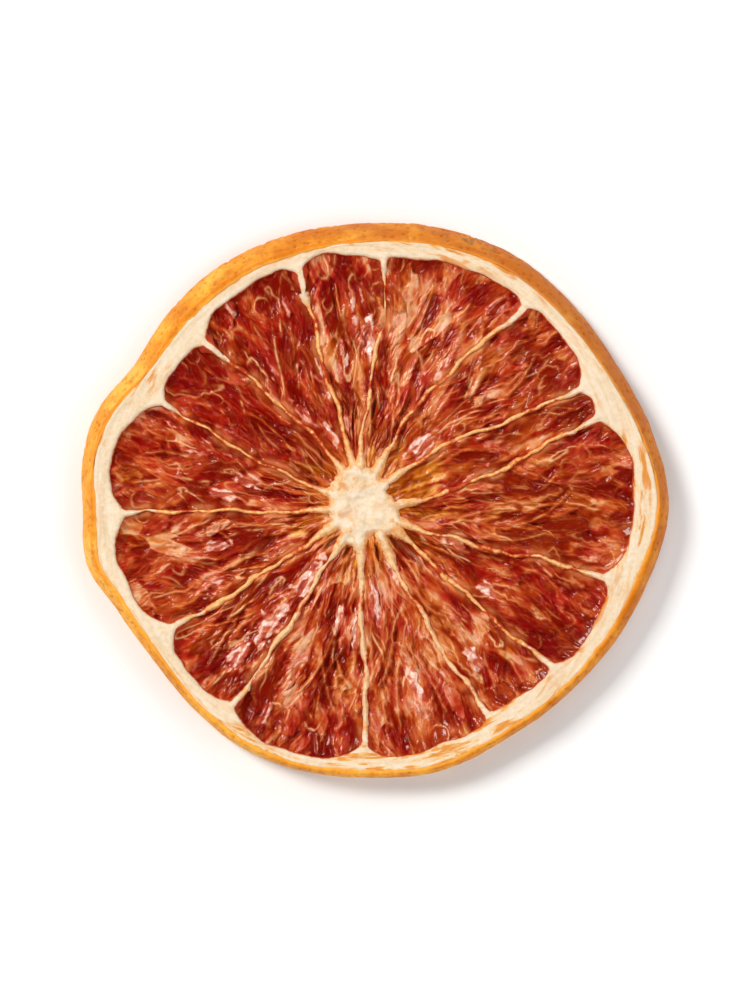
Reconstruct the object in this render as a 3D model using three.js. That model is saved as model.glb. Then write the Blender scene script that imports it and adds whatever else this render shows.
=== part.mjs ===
// A dried slice of red grapefruit, cut across its segments and lying on its wider face.
//
// The slice is one solid. A rind and pith rim stands full height round it, thin membranes run like
// spokes from the pith to a spongy core, and between them the pulp of each segment has dried down
// below the rim on both faces. The cut was made off the fruit's equator and a little askew, so the
// rind flares outwards towards the lower face, more on one side than on the other.
//
// Millimetres, +Z up. Bearings are degrees anticlockwise from +X, seen from above. The shape is
// worked out about the core, then moved so that the origin is under the middle of its outline.

import * as THREE from 'three';
import { mergeVertices } from 'three/addons/utils/BufferGeometryUtils.js';

const { clamp, degToRad, euclideanModulo, lerp, smoothstep } = THREE.MathUtils;

// ---- Driving dimensions ---------------------------------------------------------------------------

// Levels above the table. Both faces have the same section, mirrored about the middle plane.
const RIM_HEIGHT = 5.2;
const PITH_TOP = 5.0;
const MEMBRANE_TOP = 4.35;
const CORE_TOP = 4.7;
const CORE_DIMPLE = 0.5;
const PULP_TOP = 3.75;
const PULP_SAG = 0.5; // how much further the pulp sinks in the middle of a segment
const SAG_REACH = 4.5; // how far from its walls the pulp is fully sunk

// Radii and widths in the plan.
const CORE_RADIUS = 5.0;
const PITH_RADIUS = 35.0;
const MEMBRANE_HALF = 0.25;
const SHOULDER = 0.6; // width of the slope from a wall down to the pulp
const EDGE_ROUNDING = 0.45;

// How much further the rind reaches out at its foot than at the upper cut.
const FLARE_MEAN = 1.35;
const FLARE_SWING = 1.05;
const FLARE_BEARING = 95;
const RIND_BULGE = 0.3;

// Gentle waves that drying left in the rim. The foot touches the table on three arcs.
const RIM_WAVE = 0.18;
const FOOT_LIFT = 0.35;

// The widest outline, at the foot of the rind: [bearing, radius].
const OUTLINE = [
  [0, 43.8], [15, 42.7], [30, 41.6], [45, 41.7], [60, 42.1], [75, 41.6], [90, 40.9], [120, 40.7],
  [135, 40.1], [149, 39.4], [160, 41.3], [170, 41.8], [181, 41.2], [192, 41.5], [202, 39.4],
  [216, 38.2], [230, 38.7], [247, 39.5], [270, 39.3], [286, 39.8], [300, 39.3], [315, 39.8],
  [330, 40.9], [345, 42.3],
];

// The segments, anticlockwise. Each starts at a membrane, whose bearing changes on its way out: `core`,
// `middle` and `pith` are its bearings there. `reach` is how far out the pulp comes at the segment's
// first and last side, and `cusp` how much of that the pith takes back in each of the two corners.
const SEGMENTS = [
  { core: 3, middle: 15, pith: 20.5, reach: [35.6, 35.6], cusp: [0.8, 1.2] },
  { core: 46, middle: 33, pith: 28.5, reach: [37.0, 37.6], cusp: [2.4, 1.6] },
  { core: 73, middle: 60, pith: 51.5, reach: [37.9, 35.9], cusp: [2.0, 0.8] },
  { core: 99, middle: 87, pith: 86, reach: [35.6, 37.6], cusp: [0.6, 2.4] },
  { core: 108, middle: 107, pith: 106, reach: [36.6, 35.3], cusp: [2.0, 2.2] },
  { core: 124, middle: 131, pith: 135, reach: [34.0, 34.1], cusp: [1.4, 1.6] },
  { core: 163, middle: 156.5, pith: 153, reach: [37.4, 37.5], cusp: [4.8, 3.0] },
  { core: 187, middle: 182.5, pith: 182, reach: [37.6, 35.6], cusp: [3.0, 3.2] },
  { core: 212, middle: 213.5, pith: 212, reach: [34.2, 36.4], cusp: [1.8, 2.2] },
  { core: 235, middle: 237, pith: 236, reach: [37.3, 37.2], cusp: [3.0, 3.0] },
  { core: 262, middle: 268.5, pith: 269.5, reach: [37.2, 35.8], cusp: [2.8, 0.8] },
  { core: 294, middle: 297, pith: 300, reach: [35.1, 35.9], cusp: [0.8, 0.8] },
  { core: 320, middle: 318, pith: 319, reach: [37.1, 37.2], cusp: [2.0, 1.6] },
  { core: 333, middle: 341, pith: 343, reach: [37.6, 39.9], cusp: [2.4, 4.4] },
];
const CUSP_SPREAD = 2; // a cusp runs out along the pith over this many times its depth

// How finely the surface is divided.
const PULP_COLUMNS = 6; // across the pulp of a segment, besides the column on its first membrane
const PULP_ROWS = 6; // along the pulp, from the core to the pith
const SIDE_ROWS = 3; // down the rind

// ---- Plan of the slice ----------------------------------------------------------------------------

const wave = (bearing, count, phase) => Math.sin(degToRad(count * bearing + phase));

// A smooth closed curve through the outline's points, read at one bearing.
function footRadius(bearing) {
  const count = OUTLINE.length;
  const turned = euclideanModulo(bearing, 360);
  const start = OUTLINE.findLastIndex(([angle]) => angle <= turned);
  const [p0, p1, p2, p3] = [start - 1, start, start + 1, start + 2].map((k) => {
    const [angle, radius] = OUTLINE[euclideanModulo(k, count)];
    return { angle: angle + 360 * Math.floor(k / count), radius };
  });
  const step = p2.angle - p1.angle;
  const leaving = ((p2.radius - p0.radius) / (p2.angle - p0.angle)) * step;
  const arriving = ((p3.radius - p1.radius) / (p3.angle - p1.angle)) * step;
  const rise = p2.radius - p1.radius;
  const t = (turned - p1.angle) / step;
  const bend = 3 * rise - 2 * leaving - arriving;
  return p1.radius + t * (leaving + t * (bend + t * (leaving + arriving - 2 * rise)));
}

const flare = (bearing) => FLARE_MEAN + FLARE_SWING * Math.cos(degToRad(bearing - FLARE_BEARING));
const cutRadius = (bearing) => footRadius(bearing) - flare(bearing);

// A membrane's bearing at a radius, on a parabola through its three stated bearings.
function membraneBearing({ core, middle, pith }, radius) {
  const t = clamp((radius - CORE_RADIUS) / (PITH_RADIUS - CORE_RADIUS), 0, 1);
  return core * (1 - t) * (1 - 2 * t) + middle * 4 * t * (1 - t) + pith * t * (2 * t - 1);
}

// The bearings of the two membranes of a segment at a radius, and the width between them.
function segmentWalls(index, radius) {
  const from = membraneBearing(SEGMENTS[index], radius);
  const next = membraneBearing(SEGMENTS[(index + 1) % SEGMENTS.length], radius);
  const to = next < from ? next + 360 : next;
  return { from, to, width: degToRad(to - from) * radius };
}

// How far a cusp of pith holds the pulp back, at a distance from the membrane beside it.
const cuspInset = (cusp, distance) => cusp * (1 - clamp(distance / (CUSP_SPREAD * cusp), 0, 1)) ** 2;

// How far out the pulp comes on one line along a segment.
function pulpReach(index, across) {
  const { reach, cusp } = SEGMENTS[index];
  const { width } = segmentWalls(index, PITH_RADIUS);
  const held = Math.max(cuspInset(cusp[0], across * width), cuspInset(cusp[1], (1 - across) * width));
  return lerp(reach[0], reach[1], across) - held;
}

// ---- Section of the slice -------------------------------------------------------------------------

// The level of the framework: the core, the membranes, the pith and the rim.
function frameLevel(radius, reach, rim) {
  if (radius < CORE_RADIUS) return CORE_TOP - CORE_DIMPLE * (1 - radius / CORE_RADIUS) ** 2;
  const spoke = lerp(CORE_TOP, MEMBRANE_TOP, smoothstep(radius, CORE_RADIUS, 2 * CORE_RADIUS));
  const pith = lerp(spoke, PITH_TOP, smoothstep(radius, reach - 4 * SHOULDER, reach));
  return lerp(pith, RIM_HEIGHT, smoothstep(radius, lerp(reach, rim, 0.5), rim));
}

// The level of a face, where `depth` is the distance into the pulp from the nearest wall.
function faceLevel(radius, reach, rim, depth) {
  const pulp = PULP_TOP - PULP_SAG * smoothstep(depth, 0, SAG_REACH);
  return lerp(frameLevel(radius, reach, rim), pulp, smoothstep(depth, 0, SHOULDER));
}

const rimRise = (bearing) => RIM_WAVE * (wave(bearing, 2, 40) + 0.6 * wave(bearing, 5, 10));
const footRise = (bearing) => FOOT_LIFT * Math.max(0, wave(bearing, 3, 65)) ** 2;

// ---- The surface, as columns round the slice and rows over it -------------------------------------

const TOP = 1;
const BOTTOM = -1;

// Where a column crosses its segment, from 0 at one membrane to 1 at the next. The pulp's first and last
// columns keep to the foot of the membranes' slopes, however wide the segment is.
function acrossAt({ index, slot }, radius) {
  if (slot === 0) return 0;
  const { width } = segmentWalls(index, Math.max(radius, CORE_RADIUS));
  const margin = Math.min((MEMBRANE_HALF + SHOULDER) / width, 0.25);
  return lerp(margin, 1 - margin, (slot - 1) / (PULP_COLUMNS - 1));
}

// A point of one face. `station` counts from the axis through the core's edge, the pulp between its two
// slopes and the pith's inner edge to the rim.
function facePoint(column, station, face) {
  const { index } = column;
  const outerAcross = acrossAt(column, PITH_RADIUS);
  const outerWalls = segmentWalls(index, PITH_RADIUS);
  const outerBearing = lerp(outerWalls.from, outerWalls.to, outerAcross);
  const widening = face === TOP ? 0 : flare(outerBearing);
  const reach = pulpReach(index, outerAcross) + widening;
  const rim = cutRadius(outerBearing) + widening - EDGE_ROUNDING;
  const stops = [0, CORE_RADIUS, CORE_RADIUS + SHOULDER, reach - SHOULDER, reach, rim];
  const leg = Math.min(Math.floor(station), stops.length - 2);
  const radius = lerp(stops[leg], stops[leg + 1], station - leg);

  const across = acrossAt(column, radius);
  const { from, to, width } = segmentWalls(index, radius);
  const bearing = lerp(from, to, across);
  const fromMembrane = Math.min(across, 1 - across) * width - MEMBRANE_HALF;
  const depth = Math.min(fromMembrane, reach - radius, radius - CORE_RADIUS);
  const middle = RIM_HEIGHT / 2;
  const rise = face === TOP ? rimRise(bearing) : footRise(bearing);
  const level = face * (faceLevel(radius, reach, rim, depth) - middle);
  return { bearing, radius, height: middle + level + rise * smoothstep(radius, 0, rim) };
}

// A point of the rind's outer side, from 0 at the upper cut to 1 at the foot.
function sidePoint(column, down) {
  const { from, to } = segmentWalls(column.index, PITH_RADIUS);
  const bearing = lerp(from, to, acrossAt(column, PITH_RADIUS));
  const top = RIM_HEIGHT - EDGE_ROUNDING + rimRise(bearing);
  const bottom = EDGE_ROUNDING + footRise(bearing);
  return {
    bearing,
    radius: cutRadius(bearing) + flare(bearing) * down + RIND_BULGE * Math.sin(Math.PI * down),
    height: lerp(top, bottom, down),
  };
}

const columns = SEGMENTS.flatMap((_, index) => {
  return Array.from({ length: PULP_COLUMNS + 1 }, (_unused, slot) => ({ index, slot }));
});

const pulpStations = Array.from({ length: PULP_ROWS - 1 }, (_, row) => 2 + (row + 1) / PULP_ROWS);
const faceStations = [0, 0.6, 1, 2, ...pulpStations, 3, 4, 4.6, 5];
const sideSteps = Array.from({ length: SIDE_ROWS + 1 }, (_, row) => row / SIDE_ROWS);

// The rows, from the middle of the lower face, up the rind, to the middle of the upper face.
const rows = [
  ...faceStations.map((station) => (column) => facePoint(column, station, BOTTOM)),
  ...sideSteps.map((down) => (column) => sidePoint(column, 1 - down)),
  ...faceStations.toReversed().map((station) => (column) => facePoint(column, station, TOP)),
];

// A lathed disc has the right columns and rows. Each of its points is then moved to its own place.
function sliceGeometry() {
  const profile = rows.map((row) => {
    const { radius, height } = row(columns[0]);
    return new THREE.Vector2(radius, height);
  });
  const disc = new THREE.LatheGeometry(profile, columns.length);
  const { position } = disc.attributes;
  for (let k = 0; k < position.count; k += 1) {
    const column = columns[Math.floor(k / rows.length) % columns.length];
    const { bearing, radius, height } = rows[k % rows.length](column);
    const angle = degToRad(bearing);
    position.setXYZ(k, radius * Math.cos(angle), radius * Math.sin(angle), height);
  }
  disc.deleteAttribute('normal');
  disc.deleteAttribute('uv');
  return mergeVertices(disc, 1e-4);
}

// ---- The part -------------------------------------------------------------------------------------

const driedFruit = new THREE.MeshStandardMaterial({ color: '#b95a30', roughness: 0.5, metalness: 0 });

function grapefruitSlice() {
  const geometry = sliceGeometry();
  geometry.computeBoundingBox();
  const centre = geometry.boundingBox.getCenter(new THREE.Vector3());
  const slice = new THREE.Mesh(geometry, driedFruit);
  slice.name = 'grapefruit_slice';
  slice.position.set(-centre.x, -centre.y, -geometry.boundingBox.min.z);
  return slice;
}

const part = new THREE.Group();
part.add(grapefruitSlice());

export default part;
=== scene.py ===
"""The looks of a dried grapefruit slice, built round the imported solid.

The slice is worked out about its core, in millimetres and degrees, from the same plan and section as
the CAD source, and each mesh is moved to the solid's place as it is made. A point of the slice is given
by its segment, how far across the segment it lies (0 to 1) and its radius from the core.
"""

import math

import bpy
import numpy as np
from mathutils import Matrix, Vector


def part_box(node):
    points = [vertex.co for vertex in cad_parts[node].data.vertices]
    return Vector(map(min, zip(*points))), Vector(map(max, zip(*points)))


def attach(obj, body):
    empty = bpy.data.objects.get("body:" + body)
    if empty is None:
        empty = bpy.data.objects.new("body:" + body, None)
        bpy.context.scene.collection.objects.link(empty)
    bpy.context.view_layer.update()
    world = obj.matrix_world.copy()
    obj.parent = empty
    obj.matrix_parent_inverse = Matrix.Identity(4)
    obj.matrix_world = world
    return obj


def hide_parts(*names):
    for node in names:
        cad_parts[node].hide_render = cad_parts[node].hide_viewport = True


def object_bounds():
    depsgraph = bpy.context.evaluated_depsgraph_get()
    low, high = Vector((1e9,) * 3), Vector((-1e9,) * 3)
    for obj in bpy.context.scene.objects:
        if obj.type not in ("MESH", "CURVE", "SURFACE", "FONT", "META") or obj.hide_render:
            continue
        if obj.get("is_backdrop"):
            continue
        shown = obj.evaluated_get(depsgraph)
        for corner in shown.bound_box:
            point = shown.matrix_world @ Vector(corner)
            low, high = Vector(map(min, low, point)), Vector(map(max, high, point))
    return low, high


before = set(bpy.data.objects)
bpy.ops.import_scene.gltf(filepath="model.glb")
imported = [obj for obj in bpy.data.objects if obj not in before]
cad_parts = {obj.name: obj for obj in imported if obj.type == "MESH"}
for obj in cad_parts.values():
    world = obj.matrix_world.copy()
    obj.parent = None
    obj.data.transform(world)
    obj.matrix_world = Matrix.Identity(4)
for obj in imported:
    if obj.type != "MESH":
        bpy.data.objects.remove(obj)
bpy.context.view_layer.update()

MM = 0.001
NODE = "grapefruit_slice"

# ---- The slice's plan and section, as in the CAD source -------------------------------------------

RIM_HEIGHT = 5.2
PITH_TOP = 5.0
MEMBRANE_TOP = 4.35
CORE_TOP = 4.7
CORE_DIMPLE = 0.5
PULP_TOP = 3.75
PULP_SAG = 0.5
SAG_REACH = 4.5
MIDDLE = RIM_HEIGHT / 2

CORE_RADIUS = 5.0
PITH_RADIUS = 35.0
FLARE_MEAN = 1.35
FLARE_SWING = 1.05
FLARE_BEARING = 95
RIND_BULGE = 0.3
EDGE_ROUNDING = 0.45
RIM_WAVE = 0.18
FOOT_LIFT = 0.35
CUSP_SPREAD = 2  # the pith's cusps are this many times as wide as they are deep

# The outline at the foot of the rim: bearing, radius.
OUTLINE = [
    (0, 43.8), (15, 42.7), (30, 41.6), (45, 41.7), (60, 42.1), (75, 41.6), (90, 40.9), (120, 40.7),
    (135, 40.1), (149, 39.4), (160, 41.3), (170, 41.8), (181, 41.2), (192, 41.5), (202, 39.4),
    (216, 38.2), (230, 38.7), (247, 39.5), (270, 39.3), (286, 39.8), (300, 39.3), (315, 39.8),
    (330, 40.9), (345, 42.3),
]

# Each segment: its first membrane's bearing at the core, the middle and the pith, how far out the pulp
# comes at the first and last side, and how much of that the pith takes back in each corner.
SEGMENTS = [
    (3, 15, 20.5, 35.6, 35.6, 0.8, 1.2),
    (46, 33, 28.5, 37.0, 37.6, 2.4, 1.6),
    (73, 60, 51.5, 37.9, 35.9, 2.0, 0.8),
    (99, 87, 86, 35.6, 37.6, 0.6, 2.4),
    (108, 107, 106, 36.6, 35.3, 2.0, 2.2),
    (124, 131, 135, 34.0, 34.1, 1.4, 1.6),
    (163, 156.5, 153, 37.4, 37.5, 4.8, 3.0),
    (187, 182.5, 182, 37.6, 35.6, 3.0, 3.2),
    (212, 213.5, 212, 34.2, 36.4, 1.8, 2.2),
    (235, 237, 236, 37.3, 37.2, 3.0, 3.0),
    (262, 268.5, 269.5, 37.2, 35.8, 2.8, 0.8),
    (294, 297, 300, 35.1, 35.9, 0.8, 0.8),
    (320, 318, 319, 37.1, 37.2, 2.0, 1.6),
    (333, 341, 343, 37.6, 39.9, 2.4, 4.4),
]
COUNT = len(SEGMENTS)
AT_CORE, AT_MIDDLE, AT_PITH, FIRST_REACH, LAST_REACH, FIRST_CUSP, LAST_CUSP = np.array(SEGMENTS, float).T

# How wide a band of rind the cut shows: bearing, width.
CUT_RIND = [
    (8, 0.36), (30, 0.34), (60, 0.36), (90, 0.6), (115, 1.0), (138, 1.2), (149, 0.55), (158, 0.7),
    (170, 0.36), (187, 1.05), (205, 0.8), (230, 0.7), (300, 0.8), (322, 0.85), (345, 1.15),
]
# The radius at which the core gives way to each segment's pulp.
PULP_TIP = np.array([3.4, 3.9, 5.0, 6.4, 5.8, 5.6, 5.0, 5.2, 5.0, 6.2, 4.0, 5.0, 5.3, 4.6])


# ---- Small mathematics ----------------------------------------------------------------------------

def smooth(value, low, high):
    """From 0 at the low value to 1 at the high one, softly at both ends."""
    t = np.clip((value - low) / (high - low), 0, 1)
    return t * t * (3 - 2 * t)


def window(value, low, full, fading, high):
    """0 up to the low value, 1 from full to fading, and 0 again from the high value on."""
    return smooth(value, low, full) * (1 - smooth(value, fading, high))


def lerp(a, b, t):
    return a + (b - a) * t


def bell(distance, width):
    """1 at no distance, falling away on both sides."""
    return np.exp(-((distance / width) ** 2))


def hashed(*grid, seed):
    """A random number from 0 to 1 for each cell of a grid of whole numbers."""
    u = np.uint64
    mask = u(0xFFFFFFFF)
    h = u(seed * 2654435761 & 0xFFFFFFFF)
    for axis in grid:
        h = h ^ (np.asarray(axis).astype(np.int64).astype(u) + u(0x9E3779B9) + (h << u(6)) + (h >> u(2)))
        h = ((h & mask) * u(0x85EBCA6B)) & mask
        h = h ^ (h >> u(13))
        h = (h * u(0xC2B2AE35)) & mask
        h = h ^ (h >> u(16))
    return h.astype(float) / 0xFFFFFFFF


def noise(points, size, seed):
    """Gradient noise, about -1 to 1, with features of the given size, at 2-D or 3-D points."""
    p = np.asarray(points, float) / size
    base = np.floor(p)
    f = p - base
    fade = f * f * f * (f * (f * 6 - 15) + 10)
    dims = p.shape[-1]
    total = 0
    for corner in np.ndindex(*(2,) * dims):
        cell = [base[..., d] + corner[d] for d in range(dims)]
        turn = 2 * np.pi * hashed(*cell, seed=seed)
        slope = [np.cos(turn), np.sin(turn)]
        if dims == 3:
            rise = 2 * hashed(*cell, seed=seed + 101) - 1
            flat = np.sqrt(1 - rise * rise)
            slope = [slope[0] * flat, slope[1] * flat, rise]
        weight, dot = 1, 0
        for d in range(dims):
            dot = dot + slope[d] * (f[..., d] - corner[d])
            weight = weight * (fade[..., d] if corner[d] else 1 - fade[..., d])
        total = total + weight * dot
    return total * 1.5


def fractal(points, size, seed):
    """Noise with finer noise on it, twice."""
    return sum(noise(points, size / 2**octave, seed + 7 * octave) / 2**octave for octave in range(3))


def ring_cells(x, y, around, seed):
    """Jittered cells of size 1, in a pattern that closes on itself after a whole number of cells along x.
    Gives the distance to the nearest centre, and that cell's random number."""
    bx, by = np.floor(x), np.floor(y)
    near = np.full(x.shape, 9.0)
    name = np.zeros(x.shape)
    for i, j in np.ndindex(3, 3):
        cx, cy = bx + i - 1, by + j - 1
        key = np.mod(cx, around)
        px = cx + 0.12 + 0.76 * hashed(key, cy, seed=seed)
        py = cy + 0.12 + 0.76 * hashed(key, cy, seed=seed + 1)
        away = np.hypot(x - px, y - py)
        closer = away < near
        name = np.where(closer, hashed(key, cy, seed=seed + 2), name)
        near = np.where(closer, away, near)
    return near, name


def pair(x, y):
    """2-D points from their coordinates, either of which may be one number for all."""
    return np.stack(np.broadcast_arrays(x, y), -1)


# ---- The plan -------------------------------------------------------------------------------------

def spot_at(bearing, radius):
    """The x and y of a point."""
    turn = np.radians(bearing)
    return np.stack([radius * np.cos(turn), radius * np.sin(turn)], -1)


def points_at(bearing, radius, height):
    """Points in space, from their bearings, radii and heights."""
    return np.concatenate([spot_at(bearing, radius), height[..., None]], -1)


def from_bearing(bearing, middle):
    """How far a bearing is from another, from -180 to 180."""
    return (bearing - middle + 180) % 360 - 180


def outline_radius(bearing):
    """The slice's widest outline, at the foot of the rind: a smooth closed curve through its points."""
    angle, radius = np.array(OUTLINE, float).T
    n = len(angle)
    turned = np.mod(bearing, 360.0)
    start = np.searchsorted(angle, turned, side="right") - 1
    a = [angle[(start + k) % n] + 360 * ((start + k) // n) for k in (-1, 0, 1, 2)]
    r = [radius[(start + k) % n] for k in (-1, 0, 1, 2)]
    step = a[2] - a[1]
    leaving = (r[2] - r[0]) / (a[2] - a[0]) * step
    arriving = (r[3] - r[1]) / (a[3] - a[1]) * step
    rise = r[2] - r[1]
    t = (turned - a[1]) / step
    bend = 3 * rise - 2 * leaving - arriving
    return r[1] + t * (leaving + t * (bend + t * (leaving + arriving - 2 * rise)))


def flare(bearing):
    """How much wider the slice is at its foot than at its upper edge."""
    return FLARE_MEAN + FLARE_SWING * np.cos(np.radians(bearing - FLARE_BEARING))


def cut_radius(bearing):
    """The outline of the upper face."""
    return outline_radius(bearing) - flare(bearing)


def core_place():
    """Where the core's middle is in the frame: the outline's box fits the solid's."""
    low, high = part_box(NODE)
    bearing = np.linspace(0, 360, 721)
    x, y = spot_at(bearing, outline_radius(bearing) * MM).T
    return np.array([
        (low.x + high.x - x.min() - x.max()) / 2,
        (low.y + high.y - y.min() - y.max()) / 2,
        low.z,
    ])


CORE_PLACE = core_place()

# The membranes wander aside in three waves, each of its own length, phase and size.
WANDER_LENGTHS = (13.0, 6.1, 2.6)
wander = np.random.default_rng(11)
WANDER_PHASES = wander.uniform(0, 2 * np.pi, (COUNT, 3))
WANDER_SIZES = wander.uniform(0.5, 1.0, (COUNT, 3)) * (0.3, 0.15, 0.07)


def wall_bearing(wall, radius):
    """The bearing of a membrane at a radius: the CAD source's curve, with a little wandering."""
    n = wall % COUNT
    t = np.clip((radius - CORE_RADIUS) / (PITH_RADIUS - CORE_RADIUS), 0, 1)
    bearing = (
        AT_CORE[n] * (1 - t) * (1 - 2 * t)
        + AT_MIDDLE[n] * 4 * t * (1 - t)
        + AT_PITH[n] * t * (2 * t - 1)
    )
    aside = 0
    for k, length in enumerate(WANDER_LENGTHS):
        aside = aside + WANDER_SIZES[n, k] * np.sin(2 * np.pi * radius / length + WANDER_PHASES[n, k])
    calm = window(radius, CORE_RADIUS, 12, 31, PITH_RADIUS)
    return bearing + np.degrees(aside * calm / np.maximum(radius, 1)) + 360 * (wall // COUNT)


def width_at(segment, radius):
    """The distance from one membrane of a segment to the next, round the arc."""
    return np.radians(wall_bearing(segment + 1, radius) - wall_bearing(segment, radius)) * radius


def from_walls(segment, across, radius):
    """The distance to the nearer of a segment's two membranes."""
    return np.minimum(across, 1 - across) * width_at(segment, radius)


def bearing_at(segment, across, radius):
    """The bearing of a point of a segment."""
    return lerp(wall_bearing(segment, radius), wall_bearing(segment + 1, radius), across)


def reach_at(segment, across):
    """How far out the pulp comes on a line along a segment."""
    n = segment % COUNT
    width = width_at(segment, PITH_RADIUS)

    def held(cusp, distance):
        return cusp * (1 - np.clip(distance / (CUSP_SPREAD * cusp), 0, 1)) ** 2

    inset = np.maximum(held(FIRST_CUSP[n], across * width), held(LAST_CUSP[n], (1 - across) * width))
    spot = spot_at(bearing_at(segment, across, PITH_RADIUS), PITH_RADIUS)
    ragged = 0.12 * noise(spot, 1.8, 5) + 0.34 * noise(spot, 4.2, 6)
    return lerp(FIRST_REACH[n], LAST_REACH[n], across) - inset + ragged


def cut_rind(bearing):
    """How wide a band of rind the cut shows, inside the slice's edge."""
    at, wide = np.array(CUT_RIND, float).T
    return np.interp(bearing, at, wide, period=360)


def rim_rise(bearing):
    """The wave of the rim's upper edge."""
    return RIM_WAVE * (np.sin(np.radians(2 * bearing + 40)) + 0.6 * np.sin(np.radians(5 * bearing + 10)))


def foot_rise(bearing):
    """How far the foot lifts off the surface that the slice lies on, in three places."""
    return FOOT_LIFT * np.maximum(0, np.sin(np.radians(3 * bearing + 65))) ** 2


# ---- Making meshes --------------------------------------------------------------------------------

TOP, BOTTOM = 1, -1
CLEAR = 0.01  # the height of the lowest points
HIDDEN_UV = 0.004  # hidden faces share this small corner of the bake map
MAP_LEFT, MAP_RIGHT = 0.01, 0.99
STRIPS = 5  # a ring's faces lie in this many strips of its bake map


def put(bearing, radius, level, face):
    """Points on one face of the slice. The lower face is wider by the rind's flare."""
    widening = np.clip((radius - CORE_RADIUS) / (PITH_RADIUS - CORE_RADIUS), 0, 1)
    out = radius if face == TOP else radius + flare(bearing) * widening
    rise = rim_rise(bearing) if face == TOP else foot_rise(bearing)
    z = MIDDLE + face * (level - MIDDLE) + rise * smooth(radius, 0, cut_radius(bearing))
    return points_at(bearing, out, np.maximum(z, CLEAR))


def net_index(rows, columns, first=0):
    """The point numbers of a net of points, made row by row."""
    return first + np.arange(rows * columns).reshape(rows, columns)


def closed(net):
    """A ring's net, whose first column comes again as its last."""
    return np.concatenate([net, net[:, :1]], 1)


def patch(index, uv=None):
    """The quads of a net of point numbers, with a bake-map place for each corner. Where two corners of
    a quad are one point, it becomes a triangle."""
    quads = np.stack([index[:-1, :-1], index[:-1, 1:], index[1:, 1:], index[1:, :-1]], -1).reshape(-1, 4)
    if uv is None:
        places = hidden_places(quads)
    else:
        places = np.stack([uv[:-1, :-1], uv[:-1, 1:], uv[1:, 1:], uv[1:, :-1]], -2).reshape(-1, 4, 2)
    pole_first = quads[:, 0] == quads[:, 1]
    pole_last = quads[:, 2] == quads[:, 3]
    whole = ~(pole_first | pole_last)
    made = [(quads[whole], places[whole])]
    for pick, corners in ((pole_first, (0, 2, 3)), (pole_last, (0, 1, 2))):
        if pick.any():
            made.append((quads[pick][:, corners], places[pick][:, corners]))
    return made


def hidden_places(faces):
    """The bake-map place of faces that aren't seen."""
    corner = np.array([(0, 0), (1, 0), (1, 1), (0, 1)])[:faces.shape[1]] * HIDDEN_UV
    return np.broadcast_to(corner, (*faces.shape, 2))


def flipped(faces):
    """The same faces, seen from the other side."""
    return [(index[:, ::-1], uv[:, ::-1]) for index, uv in faces]


def island(rows, columns, low, high):
    """A net of bake-map places that fills a band of the map."""
    up, along = np.linspace(low, high, rows), np.linspace(MAP_LEFT, MAP_RIGHT, columns)
    v, u = np.meshgrid(up, along, indexing="ij")
    return np.stack([u, v], -1)


def strips(index, gap):
    """A ring's net cut into strips, each with the low and high edge of its band of the bake map."""
    edges = np.linspace(0, index.shape[1] - 1, STRIPS + 1).round().astype(int)
    for n in range(STRIPS):
        yield index[:, edges[n]:edges[n + 1] + 1], n / STRIPS + gap, (n + 1) / STRIPS - gap


def signed_volume(points, faces):
    """Six times the volume that the faces enclose, below 0 where they face inwards."""
    total = 0
    for index, _ in faces:
        a = points[index[:, 0]]
        for k in range(1, index.shape[1] - 1):
            total += np.einsum("ij,ij->", a, np.cross(points[index[:, k]], points[index[:, k + 1]]))
    return total


def stand(name, data):
    """Put something new in the scene."""
    thing = bpy.data.objects.new(name, data)
    bpy.context.scene.collection.objects.link(thing)
    return thing


def piece(name, points, faces, material, attributes):
    """A closed mesh piece of the slice. Points are in mm from the core's middle."""
    if signed_volume(points, faces) < 0:
        faces = flipped(faces)
    loops = np.concatenate([index.ravel() for index, _ in faces])
    uvs = np.concatenate([uv.reshape(-1, 2) for _, uv in faces])
    sizes = np.concatenate([np.full(len(index), index.shape[1]) for index, _ in faces])
    starts = np.concatenate([[0], np.cumsum(sizes)[:-1]])
    mesh = bpy.data.meshes.new(name)
    mesh.vertices.add(len(points))
    mesh.vertices.foreach_set("co", (points * MM + CORE_PLACE).astype(np.float32).ravel())
    mesh.loops.add(len(loops))
    mesh.loops.foreach_set("vertex_index", loops.astype(np.int32))
    mesh.polygons.add(len(sizes))
    mesh.polygons.foreach_set("loop_start", starts.astype(np.int32))
    mesh.polygons.foreach_set("use_smooth", np.ones(len(sizes), bool))
    mesh.uv_layers.new(name="OFBake").data.foreach_set("uv", uvs.astype(np.float32).ravel())
    for key, values in attributes.items():
        kind, field = ("FLOAT_VECTOR", "vector") if values.ndim == 2 else ("FLOAT", "value")
        made = mesh.attributes.new(key, kind, "POINT")
        made.data.foreach_set(field, values.astype(np.float32).ravel())
    mesh.update(calc_edges=True)
    mesh.materials.append(material)
    thing = stand(name, mesh)
    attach(thing, "root")
    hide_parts(NODE)
    return thing


# ---- The framework's section: membranes, pith and core --------------------------------------------

WALL_DEPTH = 3.0
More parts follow.
